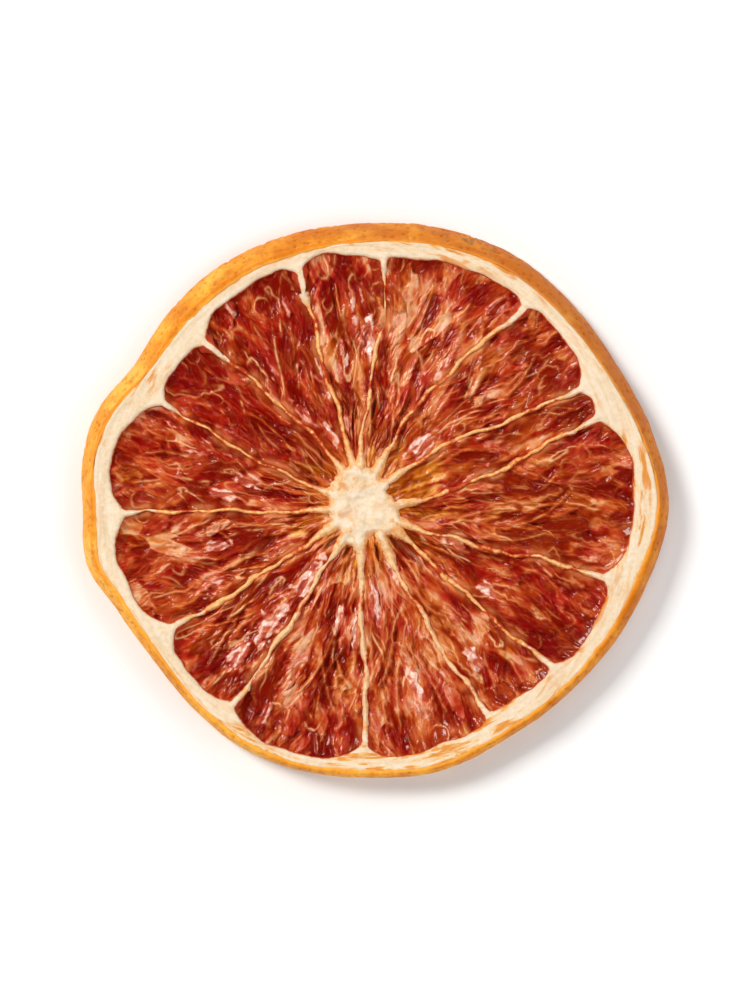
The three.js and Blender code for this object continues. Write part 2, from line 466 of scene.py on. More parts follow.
# Each membrane: half its width, and how much paler than orange it is.
MEMBRANE_HALVES = np.array([
    0.62, 0.55, 0.6, 0.55, 0.66, 0.58, 0.46, 0.48, 0.72, 0.64, 0.74, 0.68, 0.62, 0.58,
])
MEMBRANE_PALENESS = [-0.15, 0.1, 0.1, 0.15, -0.05, 0.05, -0.2, -0.15, 0.05, 0.35, 0.45, 0.3, 0.0, 0.1]
FRAME_FLOOR = MIDDLE + 0.1  # inside the pulp, where it isn't seen, the framework is a thin sheet
FRAME_BLEND = 0.1  # how softly its parts run together
PITH_STUBS = np.full(COUNT, PITH_RADIUS + 0.5)  # pith runs in along some membranes, to this radius
PITH_STUBS[[2, 4, 5]] = 33.5, 30, 29.5
COVERED_WALL = 3  # in its outer half, this membrane runs under the flesh's skin
COVERED_DROP = 0.5
CREST_NOISE = 0.38


def covered(wall, radius):
    """Where a membrane runs under the flesh's skin."""
    return (wall % COUNT == COVERED_WALL) * window(radius, 23, 26.5, 33.4, 34.6)


def crest_at(wall, radius, face):
    """The level of the top of a membrane. Each has its own line through the noise."""
    line = pair(radius, 40.0 * (wall % COUNT) + 7 * face)
    spoke = lerp(CORE_TOP, MEMBRANE_TOP - 0.1, smooth(radius, CORE_RADIUS, 2 * CORE_RADIUS))
    rough = CREST_NOISE * noise(line, 4.0, 21) + 0.12 * noise(line, 1.6, 22) + 0.05 * noise(line, 0.6, 29)
    end = reach_at(wall, 0.0)
    crest = lerp(spoke + rough, PITH_TOP - 0.1, smooth(radius, end - 3.2, end))
    return crest - COVERED_DROP * covered(wall, radius)


def membrane_half(wall, radius):
    """Half the width of a membrane's ridge near its foot: it thickens at the core and at the pith."""
    end = reach_at(wall, 0.0)
    stub = PITH_STUBS[wall % COUNT]
    line = pair(radius, 17.0 * (wall % COUNT))
    uneven = 0.55 * noise(line, 3.4, 23) + 0.16 * noise(line, 1.3, 24)
    flared = 1.0 * smooth(radius, end - 1.8, end + 0.4) + 0.8 * (1 - smooth(radius, 5, 11))
    swollen = 0.9 * smooth(radius, stub - 0.6, stub + 0.8)
    return MEMBRANE_HALVES[wall % COUNT] * (1 + uneven + flared + swollen)


def ridge(wall, radius, aside, face):
    """The level of a membrane's surface at a distance aside from its line."""
    buried = 1.6 * (1 - smooth(radius, 3.2, CORE_RADIUS))
    away = np.abs(aside / membrane_half(wall, radius))
    skirt = 0.75 * smooth(away, 0.1, 1.0)
    return crest_at(wall, radius, face) - buried - skirt - WALL_DEPTH * (1 - np.exp(-((away / 1.2) ** 4)))


def fall(inside, slope, softness):
    """How far a ledge's surface has dropped: nothing well inside its edge, and steeply past it."""
    return slope * (np.sqrt(inside**2 + softness**2) - inside) / 2


def pith_level(segment, across, radius, face):
    """The pith's surface: it rises towards the rim, and there it dips under the band of rind."""
    bearing = bearing_at(segment, across, radius)
    spot = spot_at(bearing, radius)
    reach = reach_at(segment, across)
    rim = cut_radius(bearing)
    level = lerp(PITH_TOP, RIM_HEIGHT - 0.05, smooth(radius, lerp(reach, rim, 0.5), rim - 0.7))
    level = level + 0.1 * noise(spot, 5.0, 31 + face) + 0.06 * fractal(spot, 1.4, 41 + face)
    level = level - 0.7 * smooth(radius, rim - cut_rind(bearing) - 0.07, rim - 0.35)
    return level - fall(radius - reach + 0.05, 4.0, 0.18)


def core_edge(segment, across, spot):
    """The core is a ragged star: it reaches furthest along the membranes."""
    return PULP_TIP[segment] + 0.9 * (2 * np.abs(across - 0.5)) ** 3 + 0.5 * noise(spot, 1.1, 65)


def core_level(segment, across, radius, face):
    """The core's surface, dimpled in the middle."""
    spot = spot_at(bearing_at(segment, across, radius), radius)
    level = CORE_TOP + 0.05 - CORE_DIMPLE * bell(radius, 2.2) + 0.22 * fractal(spot, 2.0, 61 + face)
    return level - fall(core_edge(segment, across, spot) - radius, 2.0, 0.4)


def frame_level(segment, across, radius, face):
    """The framework's surface: the highest of its parts, run together where they meet."""
    width = width_at(segment, radius)
    parts = [
        ridge(segment, radius, across * width, face),
        ridge(segment + 1, radius, (1 - across) * width, face),
        pith_level(segment, across, radius, face),
        core_level(segment, across, radius, face),
    ]
    level = FRAME_BLEND * np.log(sum(np.exp(np.clip(part, -9, 9) / FRAME_BLEND) for part in parts))
    return np.maximum(level, FRAME_FLOOR)


# ---- Pieces of the framework ----------------------------------------------------------------------

PITH_ROWS = {TOP: 26, BOTTOM: 20}
PITH_SPACING = 0.34
CUSP_COLUMNS = np.array([0, 0.1, 0.22, 0.36, 0.55, 0.8])  # closer columns, beside each membrane
PITH_GAP = 0.008
# Orange stains of the pith: bearing, spread, strength.
STAINS = (
    (72, 14, 1.0), (295, 18, 1.7), (8, 7, 1.0), (352, 9, 1.3), (268, 16, 1.8), (150, 6, 0.8), (240, 6, 1.0),
)

HALF_STEPS = np.array([0.15, 0.35, 0.55, 0.75, 0.95, 1.2, 1.5])
MEMBRANE_STEPS = np.concatenate([-HALF_STEPS[::-1], [0], HALF_STEPS])
MEMBRANE_START = 6.8
MEMBRANE_ROWS = 150
MEMBRANE_GAP = 0.003
TUCK = 0.08  # how far a membrane's ends dip under the core and the pith

CORE_COLUMNS = 12  # in each segment
CORE_ROWS = 33
CORE_END = 7.2  # the core's piece takes in the start of each membrane, up to this radius


def stain_at(segment, across, radius):
    """Where the pith may be stained orange: by the rind, by the flesh on one side, and in patches."""
    bearing = bearing_at(segment, across, radius)
    patches = 0.0
    for middle, spread, strength in STAINS:
        patches = patches + strength * bell(from_bearing(bearing, middle), spread)
    by_rind = np.exp(-np.maximum(cut_radius(bearing) - 0.8 - radius, 0) / 0.4)
    by_flesh = np.exp(-np.maximum(radius - reach_at(segment, across), 0) / 0.5)
    facing = smooth(np.cos(np.radians(bearing + 8)), 0.3, 0.9)
    from_wall = from_walls(segment, across, radius)
    by_flesh = by_flesh * smooth(from_wall, 0.6, 1.8)
    in_cusp = (1 - smooth(from_wall, 0.4, 1.4)) * (1 - smooth(radius, PITH_RADIUS - 1, PITH_RADIUS + 0.5))
    patches = patches * (1 - in_cusp)
    return np.clip(0.9 * by_rind * (1 - 0.5 * facing) + 1.2 * by_flesh * facing + 0.85 * patches, 0, 1.6)


def round_grain(points):
    """For each point, how far round the slice, how far out and how high it is."""
    radius = np.hypot(points[:, 0], points[:, 1])
    turn = np.arctan2(points[:, 1], points[:, 0])
    return np.stack([turn * PITH_RADIUS, radius, points[:, 2]], -1)


def pith_columns():
    """The columns of points that make the pith: for each, its segment and how far across that it is."""
    segment, across = [], []
    margin = 1.1
    for s in range(COUNT):
        width = width_at(s, PITH_RADIUS)
        between = max(3, int(round((width - 2 * margin) / PITH_SPACING)))
        middle = np.linspace(margin, width - margin, between)
        stops = np.concatenate([CUSP_COLUMNS, middle, width - CUSP_COLUMNS[:0:-1]]) / width
        segment.append(np.full(len(stops), s))
        across.append(stops)
    return np.concatenate(segment), np.concatenate(across)


def pith(material):
    """The pith: a ring whose section is a closed loop, with cusps that run in along the membranes."""
    segment, across = pith_columns()
    columns = len(segment)
    reach = reach_at(segment, across)
    aside = from_walls(segment, across, PITH_RADIUS)
    inner = reach - 1.3 - 2.2 * bell(aside, 0.7)
    outer = cut_radius(bearing_at(segment, across, PITH_RADIUS)) - 0.4
    stub = PITH_STUBS[(segment + (across > 0.5)) % COUNT]
    on_wall = 1 - smooth(aside, 0.25, 0.6)
    rings, looks = [], []
    for face, count in PITH_ROWS.items():
        steps = np.linspace(0, 1, count)[:, None]
        radius = inner + (outer - inner) * (steps * 0.75 + 0.25 * steps**2)
        level = frame_level(segment, across, radius, face)
        rings.append(put(bearing_at(segment, across, radius), radius, level, face)[::face])
        looks.append(np.stack([
            np.maximum(smooth(radius - reach, -3.2, -0.6), on_wall * smooth(radius, stub - 0.5, stub + 0.6)),
            (1 - smooth(radius - reach, -0.2, 0.06)) * (1 - on_wall),
            stain_at(segment, across, radius),
        ], -1)[::face])
    flat = np.concatenate(rings).reshape(-1, 3)
    top_rows, bottom_rows = PITH_ROWS.values()
    rows = top_rows + bottom_rows
    index = closed(net_index(rows, columns))
    faces = []
    for part, low, high in strips(index, PITH_GAP):
        middle = lerp(low, high, top_rows / rows)
        wide = part.shape[1]
        faces += patch(part[:top_rows], island(top_rows, wide, low, middle))
        faces += patch(part[top_rows:], island(bottom_rows, wide, middle + PITH_GAP, high))
    faces += patch(index[top_rows - 1:top_rows + 1])
    faces += patch(index[[-1, 0]])
    cream, juice, stain = np.concatenate(looks).reshape(-1, 3).T
    attributes = {"cream": cream, "juice": juice, "stain": stain, "spot": flat, "grain": round_grain(flat)}
    return piece("pith", flat, faces, material, attributes)


def membranes(material):
    """The membranes: for each a thin closed wall, from the core's edge out into the pith's cusp."""
    half = len(MEMBRANE_STEPS)
    flank = smooth(np.abs(np.concatenate([MEMBRANE_STEPS, MEMBRANE_STEPS[::-1]])), 0.1, 0.8)
    points, faces, creams, juices = [], [], [], []
    for wall in range(COUNT):
        start, end = MEMBRANE_START, reach_at(wall, 0.0) - 2.6
        radius = np.linspace(start, end, MEMBRANE_ROWS)[:, None]
        aside = MEMBRANE_STEPS * membrane_half(wall, radius)
        out = radius + 0 * aside
        bearing = wall_bearing(wall, radius) + np.degrees(aside / radius)
        tuck = TUCK * (1 - smooth(radius, start, start + 0.5)) + TUCK * smooth(radius, end - 0.5, end)
        sheets = []
        for face in (TOP, BOTTOM):
            level = np.maximum(ridge(wall, out, aside, face), FRAME_FLOOR) - tuck
            sheets.append(put(bearing, out, level, face)[:, ::face])
        net = np.concatenate(sheets, 1)
        index = net_index(MEMBRANE_ROWS, 2 * half, wall * MEMBRANE_ROWS * 2 * half)
        for side, part in enumerate((index[:, :half], index[:, half:])):
            low, high = (wall + side / 2) / COUNT, (wall + side / 2 + 0.5) / COUNT
            uv = island(half, MEMBRANE_ROWS, low + MEMBRANE_GAP, high - MEMBRANE_GAP)
            faces += patch(part, uv.swapaxes(0, 1))
        faces += patch(index[:, half - 1:half + 1])
        faces += patch(index[:, [-1, 0]])
        for row, way in ((0, 1), (-1, -1)):
            faces += patch(np.stack([index[row, :half], index[row, :half - 1:-1]])[::way])
        points.append(net.reshape(-1, 3))
        pale = MEMBRANE_PALENESS[wall]
        stub = min(PITH_STUBS[wall], end - 2) - 1
        cream = smooth(radius, stub + 0.5, stub + 2.5) * (1 - covered(wall, radius))
        at_core = 0.45 * (1 - smooth(radius, 6, 9.5))
        creams.append((np.maximum(cream, np.maximum(pale, at_core)) + 0 * net[..., 0]).ravel())
        spot = net[..., :2]
        blush = noise(spot, 4.0, 25) + 0.5 * noise(spot, 1.4, 26) + 0.3 * noise(spot, 0.6, 30)
        reddened = smooth(blush, -0.2, 0.6) * smooth(radius, 7, 12)
        juices.append(np.clip(0.75 * flank + 0.7 * reddened - 0.8 * pale, 0, 0.95).ravel())
    flat = np.concatenate(points)
    attributes = {
        "cream": np.concatenate(creams), "juice": np.concatenate(juices), "stain": np.zeros(len(flat)),
        "spot": flat, "grain": flat * (6, 1, 1),
    }
    return piece("membranes", flat, faces, material, attributes)


def core(material):
    """The spongy core, with the first few millimetres of every membrane."""
    segment = np.repeat(np.arange(COUNT), CORE_COLUMNS)
    across = np.tile(np.arange(CORE_COLUMNS) / CORE_COLUMNS, COUNT)
    columns = len(segment)
    radius = np.linspace(0, CORE_END, CORE_ROWS + 1)[1:, None] + 0 * across
    on_wall = 1 - smooth(from_walls(segment, across, radius), 0.2, 0.45)
    spoke = lerp(0.95, 0.4, smooth(radius, 4.2, CORE_END))
    points, faces, edges, juice, cream = [], [], [], [], []
    for face in (TOP, BOTTOM):
        level = frame_level(segment, across, radius, face)
        net = put(bearing_at(segment, across, radius), radius, level, face)
        within = core_edge(segment, across, net[..., :2]) - radius
        first = sum(map(len, points))
        points += [net[0].mean(0)[None], net.reshape(-1, 3)]
        juice += [[0.0], (1 - smooth(level, 3.5, 4.2)).ravel()]
        cream += [[1.0], np.maximum(smooth(within, -0.8, 0.9), spoke * on_wall).ravel()]
        pole = np.full((1, columns), first)
        index = closed(np.concatenate([pole, net_index(CORE_ROWS, columns, first + 1)]))
        edges.append(index[-1])
        disc = closed(np.concatenate([np.zeros((1, columns, 2)), net[..., :2]])) / (2 * CORE_END) * 0.48
        made = patch(index, disc + ((0.25, 0.25) if face == TOP else (0.75, 0.25)))
        faces += made if face == TOP else flipped(made)
    faces += patch(np.stack(edges))
    flat = np.concatenate(points)
    from_middle = np.hypot(flat[:, 0], flat[:, 1])
    oily = bell(np.hypot(flat[:, 0] + 2.6, flat[:, 1] - 2.2), 2.0)
    attributes = {
        "cream": np.concatenate(cream), "juice": np.concatenate(juice) * 0.7,
        "stain": 0.25 + 0.5 * smooth(from_middle, 2.0, 5.5) + 0.12 * oily,
        "spot": flat, "grain": flat * (3, 0.6, 0.6),
    }
    return piece("core", flat, faces, material, attributes)


# ---- Pulp -----------------------------------------------------------------------------------------

PULP_FLOOR = 2.72  # the pulp's upper face comes no lower than this, nor its lower face higher
PULP_SPACING = 0.15  # the distance between the upper face's points, across the segment
PULP_ROWS = 149  # the lower face has every second row and column
INNER_TUCK, OUTER_TUCK, SIDE_TUCK = 0.9, 0.45, 0.08  # how far the slab's edges go into the framework
# Each segment's flesh: how pale, how varied and how golden it is.
SEGMENT_PALENESS = [0.06, 0.28, 0.6, 0.68, -0.1, -0.2, 0.26, 0.42, 0.06, 0.55, 0.95, 0.58, 0.16, 0.36]
SEGMENT_VARIETY = [0.85, 0.8, 1.0, 1.3, 0.75, 0.6, 1.0, 1.0, 1.35, 1.3, 0.75, 0.95, 0.9, 1.0]
SEGMENT_GOLD = [0.5, 0.4, 0.25, 0.2, 0.05, 0.1, 0.25, 0.4, 0.2, 0.3, 0.5, 0.35, 0.2, 0.55]
# What the material reads: tone (from deep red to pale, with painted light and shade on folds, troughs and
# crevices), gold (amber flesh), vein (pale threads), the shiny skin mask (pale skin with painted glints),
# the gap mask (painted shade in the gaps), honey (clear flesh), busy (how much fine detail), grain (the place
# on a sac).
MASKS = ("tone", "gold", "vein", "film", "dark", "honey", "busy", "grain")
TONE_KNEE, TONE_ROOM = 0.6, 0.3  # above the knee, the tone is pressed into this much room

# Sacs: how many on a square millimetre, half the length, half the width.
SACS = ((0.12, 5.4, 1.9), (0.14, 4.2, 1.15))
# Fine folds: the size across and along, the rise, and the painted shade (how much paler their crests and
# deeper red their valleys are painted).
FOLDS = ((0.75, 3.8, 0.12, 0.2), (0.36, 2.2, 0.05, 0.14))
# Pleats: the size across and along, and the strength of their relief and of their painted light and shade.
PLEATS = ((2.1, 12.0, 1.25), (1.0, 7.0, 0.6))

# Gaps that opened as the flesh shrank, their floors painted very deep red as shade: the bearing and radius of
# each end, and half the width.
HOLLOWS = [
    (305, 5.0, 313, 11.6, 0.95), (198.5, 13.4, 203, 20.0, 0.85), (187, 7.5, 189, 12, 0.5),
    (228, 5.4, 226, 9.4, 0.5), (246, 5.2, 247, 8.6, 0.4), (283, 5.2, 282, 8.5, 0.35), (151, 8, 150, 12, 0.4),
    (87, 12, 85, 16, 0.45), (258, 20, 259, 24.5, 0.5), (338, 17, 339, 22, 0.4),
]
# Scraps of pale skin, with glints painted on their folds: bearing, radius, half the length, half the width,
# strength.
GLINTING_SKINS = [
    (89.5, 24, 3.8, 1.1, 1.4), (94, 30, 2.2, 0.6, 1), (74, 29, 3.4, 0.7, 1), (168, 17.5, 2.4, 1.4, 1.3),
    (175, 21, 2.6, 1.1, 1), (231, 13.5, 4.4, 1.5, 1.4), (231, 22, 4.4, 1.7, 1.5), (229, 28.5, 2.8, 1.4, 1.3),
    (61, 23.5, 3.0, 0.9, 1), (63, 16.5, 3.2, 0.9, 1), (47, 11.5, 3.4, 1.5, 1), (117, 11.5, 2.4, 0.8, 1),
    (108.5, 19, 4.0, 0.7, 1), (195, 22, 2.0, 1.2, 1.2), (207, 25, 3.0, 0.7, 1), (257, 17.5, 2.6, 0.9, 1.2),
    (265, 18, 4.0, 0.6, 1), (275, 14, 5.0, 0.9, 1), (285, 27, 4.6, 1.0, 1.2), (291, 10.5, 2.6, 0.9, 1),
    (305, 27, 2.8, 1.2, 1.3), (325, 21.5, 1.8, 1.3, 1.2), (337, 13, 3.0, 0.8, 1), (98, 22, 3.2, 0.7, 1.2),
]
# Pale stalks that spread outwards: bearing, radius, length, strength.
FANS = [
    (84, 21, 9, 1.2), (272, 17, 12, 1.0), (262, 24, 8, 0.7), (300, 13, 12, 0.7), (30, 26, 9, 0.8),
    (50, 12, 10, 0.8), (350, 16, 10, 0.6),
]
# Thick orange wrinkles: the bearing and radius of each end, how far the middle bows aside, half the width.
WRINKLES = [
    (204, 24, 193, 14.5, -1.2, 0.32), (207, 20, 198, 12, 0.8, 0.3), (190, 24, 196, 20, 0.8, 0.22),
    (257, 33, 262, 20, 1.2, 0.28), (262, 31, 252, 21, 0.6, 0.26), (249, 30, 256, 17, -1.0, 0.24),
    (266, 27, 258, 22, 0.4, 0.24), (347, 33, 342, 24, -0.8, 0.24), (352, 27, 344, 17, 0.8, 0.26),
    (358, 23, 350, 13, -0.8, 0.24), (5, 30, 352, 22, 0.8, 0.22), (28, 19, 34, 24, 1.6, 0.3),
    (36, 24, 31, 18, 1.2, 0.24), (86, 31, 87, 18, 0.5, 0.26), (98, 33, 93, 20, -0.6, 0.22),
    (91, 18, 88, 9, 0.5, 0.26), (73, 33, 76, 24, 0.5, 0.22), (65, 20, 69, 10, 0.4, 0.24),
    (75, 14, 70, 8, 0.5, 0.2), (279, 34, 283, 22, 0.8, 0.26), (273, 27, 283, 17, -0.8, 0.22),
    (291, 33, 286, 21, -0.5, 0.22), (306, 20, 300, 14, 0.8, 0.24), (329, 17, 324, 9, -0.5, 0.22),
    (167, 33, 165, 26, 0.5, 0.2), (160, 20, 170, 12, -1.0, 0.24), (142, 22, 146, 12, 0.6, 0.2),
    (226, 33, 222, 25, 0.5, 0.22), (217, 29, 224, 22, -0.4, 0.2), (42, 33, 38, 25, 0.6, 0.22),
]
# Honey-coloured, translucent flesh: bearing, radius, half the length, half the width.
HONEY = [
    (27, 9.5, 3.8, 1.9), (12, 9.0, 3.0, 1.0), (286, 7.2, 2.4, 0.7), (352, 9.0, 3.4, 0.9), (60, 9.2, 3.4, 0.9),
    (84, 7.5, 2.5, 0.7), (146, 9.0, 2.6, 1.0), (200, 9.5, 3.2, 0.9), (325, 8.5, 2.8, 0.7), (262, 8.5, 3, 0.8),
]


def span(bearing, radius, last_bearing, last_radius):
    """A line from one place to another: the x and y of its middle, its heading and its length."""
    x0, y0 = spot_at(bearing, radius)
    x1, y1 = spot_at(last_bearing, last_radius)
    return (x0 + x1) / 2, (y0 + y1) / 2, math.atan2(y1 - y0, x1 - x0), math.hypot(x1 - x0, y1 - y0)


def blend(mask, near, value, cover):
    """Bring a mask to a value near a place, as far as the cover says."""
    mask[near] = lerp(mask[near], value, cover)


def at_least(mask, near, value):
    """Bring a mask up to a value near a place."""
    mask[near] = np.maximum(mask[near], value)


class PulpFace:
    """One face of a segment's pulp, on which dried juice sacs are laid one over another. It holds, for
    each point, its height and the masks that its material needs. A mark is laid at x and y along a
    heading, on the points near it."""

    def __init__(self, segment, across, radius, face):
        self.segment = segment
        self.across = across
        self.radius = radius
        self.rng = np.random.default_rng(500 + 2 * segment + (face == TOP))
        self.variety = SEGMENT_VARIETY[segment]
        self.pale = SEGMENT_PALENESS[segment]
        self.seed = 1000 + 40 * segment + 20 * face
        self.bearing = bearing_at(segment, across, radius)
        self.spot = spot_at(self.bearing, radius)
        count = len(across)
        self.height = np.zeros(count)
        self.tone = np.full(count, 0.4)
        self.gold, self.vein, self.film, self.dark, self.honey = np.zeros((5, count))
        self.grain = points_at(self.bearing, radius, self.height)
        self.warp = noise(self.spot, 1.6, self.seed + 1) + 0.5 * noise(self.spot, 0.7, self.seed + 2)
        rays = pair(np.radians(self.bearing) * 12.0, radius / 10.0) + 0.3 * self.warp[:, None]
        bustle = noise(self.spot, 5.0, 163) + 0.4 * noise(self.spot, 1.8, 164)
        self.busy = 0.3 + 0.7 * smooth(bustle, -0.45, 0.2)
        self.drift = 0.8 * noise(self.spot, 6.0, 161) + 1.0 * noise(rays, 1.0, 162)

    def flow(self, across, radius):
        """The way the sacs point there, in radians: at the core, and leaning this way and that."""
        bearing = bearing_at(self.segment, across, radius)
        sway = 46 * noise(spot_at(bearing, radius), 7.0, self.seed + 3)
        return math.radians(bearing + 180 + (sway * smooth(radius, 7, 22) - 16 * (across - 0.5)))

    def around(self, x, y, heading, reach, bend=0.0):
        """The points near a place, and how far along a heading from it and to its side they are."""
        near = np.flatnonzero((np.abs(self.spot - (x, y)) < reach).all(-1))
        dx, dy = (self.spot[near] - (x, y)).T
        along = dx * math.cos(heading) + dy * math.sin(heading)
        aside = dy * math.cos(heading) - dx * math.sin(heading) - bend * along**2
        return near, along, aside

    def fade(self, near, cover, *masks):
        """Take masks away under a cover."""
        for mask in masks:
            mask[near] *= 1 - cover

    def sac(self, x, y, heading, half_length, half_width, tone, gold, outline):
        """A dried sac: a drop that is thicker towards the core, sunk in its middle, with a raised rim."""
        rng = self.rng
        near, along, aside = self.around(x, y, heading, half_length + 0.5, rng.normal(0, 0.02))
        if len(near) == 0:
            return
        t = along / half_length
        wide = half_width * np.sqrt(np.clip(1 - t**2, 0, None)) * (1 + 0.3 * t)
        inside = wide - np.abs(aside) + 0.16 * self.warp[near]
        cover = smooth(inside, -0.05, rng.choice([0.12, 0.7]))
        dome = np.clip(1 - (aside / np.maximum(wide, 0.1)) ** 2, 0, 1)
        own = rng.uniform(0, 900)
        level, tilt, roll = rng.normal(0, (0.1, 0.12, 0.14))
        height = level + tilt * t + roll * aside / half_width + rng.uniform(-0.34, 0.16) * dome
        one_side = smooth(rng.choice([-1, 1]) * aside / half_width + 0.5 * t, -0.5, 0.5)
        rim = bell(inside - 0.1, 0.1) * one_side
        blend(self.height, near, height + 0.1 * rim * outline, cover)
        blend(self.tone, near, tone + rng.normal(0, 0.1) * t - 0.1 * dome, cover)
        blend(self.gold, near, gold, cover)
        self.fade(near, cover, self.film, self.dark, self.vein)
        broken = smooth(self.warp[near] + 0.5 * math.sin(own), -0.3, 0.6)
        at_least(self.vein, near, outline * rim * broken)
        changed = cover > 0.5
        self.grain[near[changed]] = np.stack([aside + own, along, 0 * aside + own / 7], -1)[changed]

    def fibre(self, x, y, heading, length, strength, thick):
        """A thin pale thread, such as a sac's stalk or the edge of a torn skin."""
        rng = self.rng
        near, along, aside = self.around(x, y, heading, length / 2 + 0.5, rng.normal(0, 0.03))
        sway = rng.uniform(0.05, 0.2) * np.sin(along * rng.uniform(0.8, 2.2) + rng.uniform(0, 6))
        t = np.clip(2 * np.abs(along) / length, 0, 1)
        mask = bell(aside + sway, thick * (1.15 - 0.6 * t**2)) * (1 - smooth(t, 0.6, 1))
        mask = mask * smooth(self.warp[near] + rng.uniform(-0.2, 0.8), -0.5, 0.5)
        self.height[near] += 0.13 * mask * strength
        at_least(self.vein, near, mask * strength)

    def wrinkle(self, x, y, heading, length, bow, half_width):
        """A thick orange fold of skin, with a trough along each side that is painted deeper red as shade."""
        near, along, aside = self.around(x, y, heading, length / 2 + 2)
        t = np.clip(2 * np.abs(along) / length, 0, 1)
        aside = aside - bow * (1 - t**2) + 0.12 * self.warp[near]
        ends = 1 - smooth(t, 0.7, 1)
        wide = 0.85 * half_width * (1.1 - 0.5 * t) * (1 + 0.5 * noise(self.spot[near], 1.3, self.seed + 12))
        crest = bell(aside, wide) * ends
        trough = bell(np.abs(aside) - 2.4 * half_width, 1.3 * half_width) * ends
        worn = 0.3 + 0.7 * smooth(self.warp[near], -0.5, 0.5)
        self.height[near] += 0.34 * crest - 0.16 * trough
        # The crest is a little paler; the troughs are painted darker, as shade.
        self.tone[near] += 0.1 * crest - 0.2 * trough
        at_least(self.gold, near, 0.8 * crest)
        self.fade(near, trough, self.film, self.vein)
        at_least(self.vein, near, 0.5 * crest * worn)

    def ribbon(self, x, y, heading, length, wide, strength):
        """A broad, pale, clear streak: the side of a sac that stands on edge."""
        rng = self.rng
        near, along, aside = self.around(x, y, heading, length / 2 + 1, rng.normal(0, 0.025))
        aside = aside + rng.uniform(0.1, 0.4) * np.sin(along * rng.uniform(0.5, 1.1) + rng.uniform(0, 6))
        t = np.clip(2 * np.abs(along) / length, 0, 1)
        inside = wide * (1 - t**2) - np.abs(aside) + 0.22 * self.warp[near]
        mask = smooth(inside, -0.1, 0.3) * strength
        self.height[near] += 0.12 * mask
        self.tone[near] += 0.16 * mask
        crest = bell(inside, 0.13) * smooth(self.warp[near], -0.4, 0.5)
        at_least(self.vein, near, np.maximum(0.3 * mask, 0.55 * strength * crest))

    def fan(self, x, y, heading, length, strength):
        """Pale stalks that spread from one point."""
        rng = self.rng
        near, along, aside = self.around(x, y, heading, length)
        t = along / length
        cover = smooth(t, 0.0, 0.3) * (1 - smooth(t, 0.5, 1)) * bell(aside, 0.5 + 0.35 * np.abs(along))
        self.tone[near] += 0.22 * strength * cover
        self.gold[near] += 0.25 * strength * cover
        for turned in heading + np.linspace(-0.45, 0.45, rng.integers(4, 8)):
            turned += rng.normal(0, 0.07)
            long = length * rng.uniform(0.6, 1.1)
            middle = long / 2 + rng.uniform(0, 0.8)
            self.fibre(
                x + middle * math.cos(turned), y + middle * math.sin(turned), turned, long,
                strength * rng.uniform(0.4, 1), rng.uniform(0.1, 0.2),
            )

    def ring(self, x, y, heading, size, stretch, strength):
        """The outline of a sac: round where it is seen head on, and long where it lies flat."""
        near, along, aside = self.around(x, y, heading, size * stretch + 1.2, self.rng.normal(0, 0.03))
        away = np.hypot(along / stretch, aside) + 0.3 * self.warp[near]
        cover = smooth(size - away, 0, 0.3)
        turn = np.arctan2(aside * stretch, along)
        rim = bell(away - size, 0.14) * smooth(np.sin(turn + self.rng.uniform(0, 6)), -0.5, 0.5)
        blend(self.height, near, self.height[near] * 0.5 - 0.1, cover)
        self.height[near] += 0.18 * rim * strength
        blend(self.tone, near, self.tone[near] * 0.7, cover)
        self.fade(near, 0.7 * cover, self.vein)
        at_least(self.vein, near, rim * strength)

    def skin(self, x, y, heading, half_length, half_width, strength):
        """A scrap of pale, shiny, wrinkled skin, with painted highlights: its mask is strongest on the crests
        of its folds, which the material paints pinkish white as glints.
        """
        near, along, aside = self.around(x, y, heading, half_length + 1)
        inside = 1 - np.hypot(along / half_length, aside / half_width) + 0.5 * self.warp[near]
        cover = np.clip(smooth(inside, 0, 0.4) * strength, 0, 1)
        folds = noise(pair(aside / 0.75, along / 2.4) + 0.4 * self.warp[near, None], 1.0, self.seed + 5)
        fold = smooth(folds, 0.25 - 0.35 * strength, 0.6 - 0.3 * strength)
        self.height[near] += cover * (0.02 + 0.16 * fold)
        at_least(self.film, near, cover * (0.36 + 0.64 * fold))

    def ripe(self, x, y, heading, half_length, half_width):
        """Clear, honey-coloured flesh."""
        near, along, aside = self.around(x, y, heading, half_length + 1)
        inside = 1 - np.hypot(along / half_length, aside / half_width) + 0.25 * self.warp[near]
        at_least(self.honey, near, smooth(inside, 0, 0.5))
        self.height[near] -= 0.12 * smooth(inside, 0, 0.6)

    def hollow(self, x, y, heading, length, half_width):
        """A gap that opened as the flesh shrank, its floor painted very deep red as shade."""
        half_length = length / 2
        depth = lerp(0.35, 0.75, smooth(half_width, 0.4, 0.8))
        near, along, aside = self.around(x, y, heading, half_length + 0.5)
        t = np.clip(np.abs(along) / half_length, 0, 1)
        inside = half_width * (1 - t**2) - np.abs(aside) + 0.1 * self.warp[near]
        cover = smooth(inside, -0.05, 0.3)
        floor = -depth - 0.3 * smooth(inside, 0, half_width) + 0.12 * self.warp[near]
        blend(self.height, near, floor, cover)
        # Painted shade in the gap, less of it towards the gap's far end.
        at_least(self.dark, near, cover * (1 - 0.5 * smooth(along / half_length, -0.3, 0.8)))
        rim = bell(inside + 0.18, 0.2) * smooth(self.warp[near], -0.6, 0.3)
        at_least(self.gold, near, rim)
        self.fade(near, cover, self.vein, self.film)
        at_least(self.vein, near, 0.45 * rim)

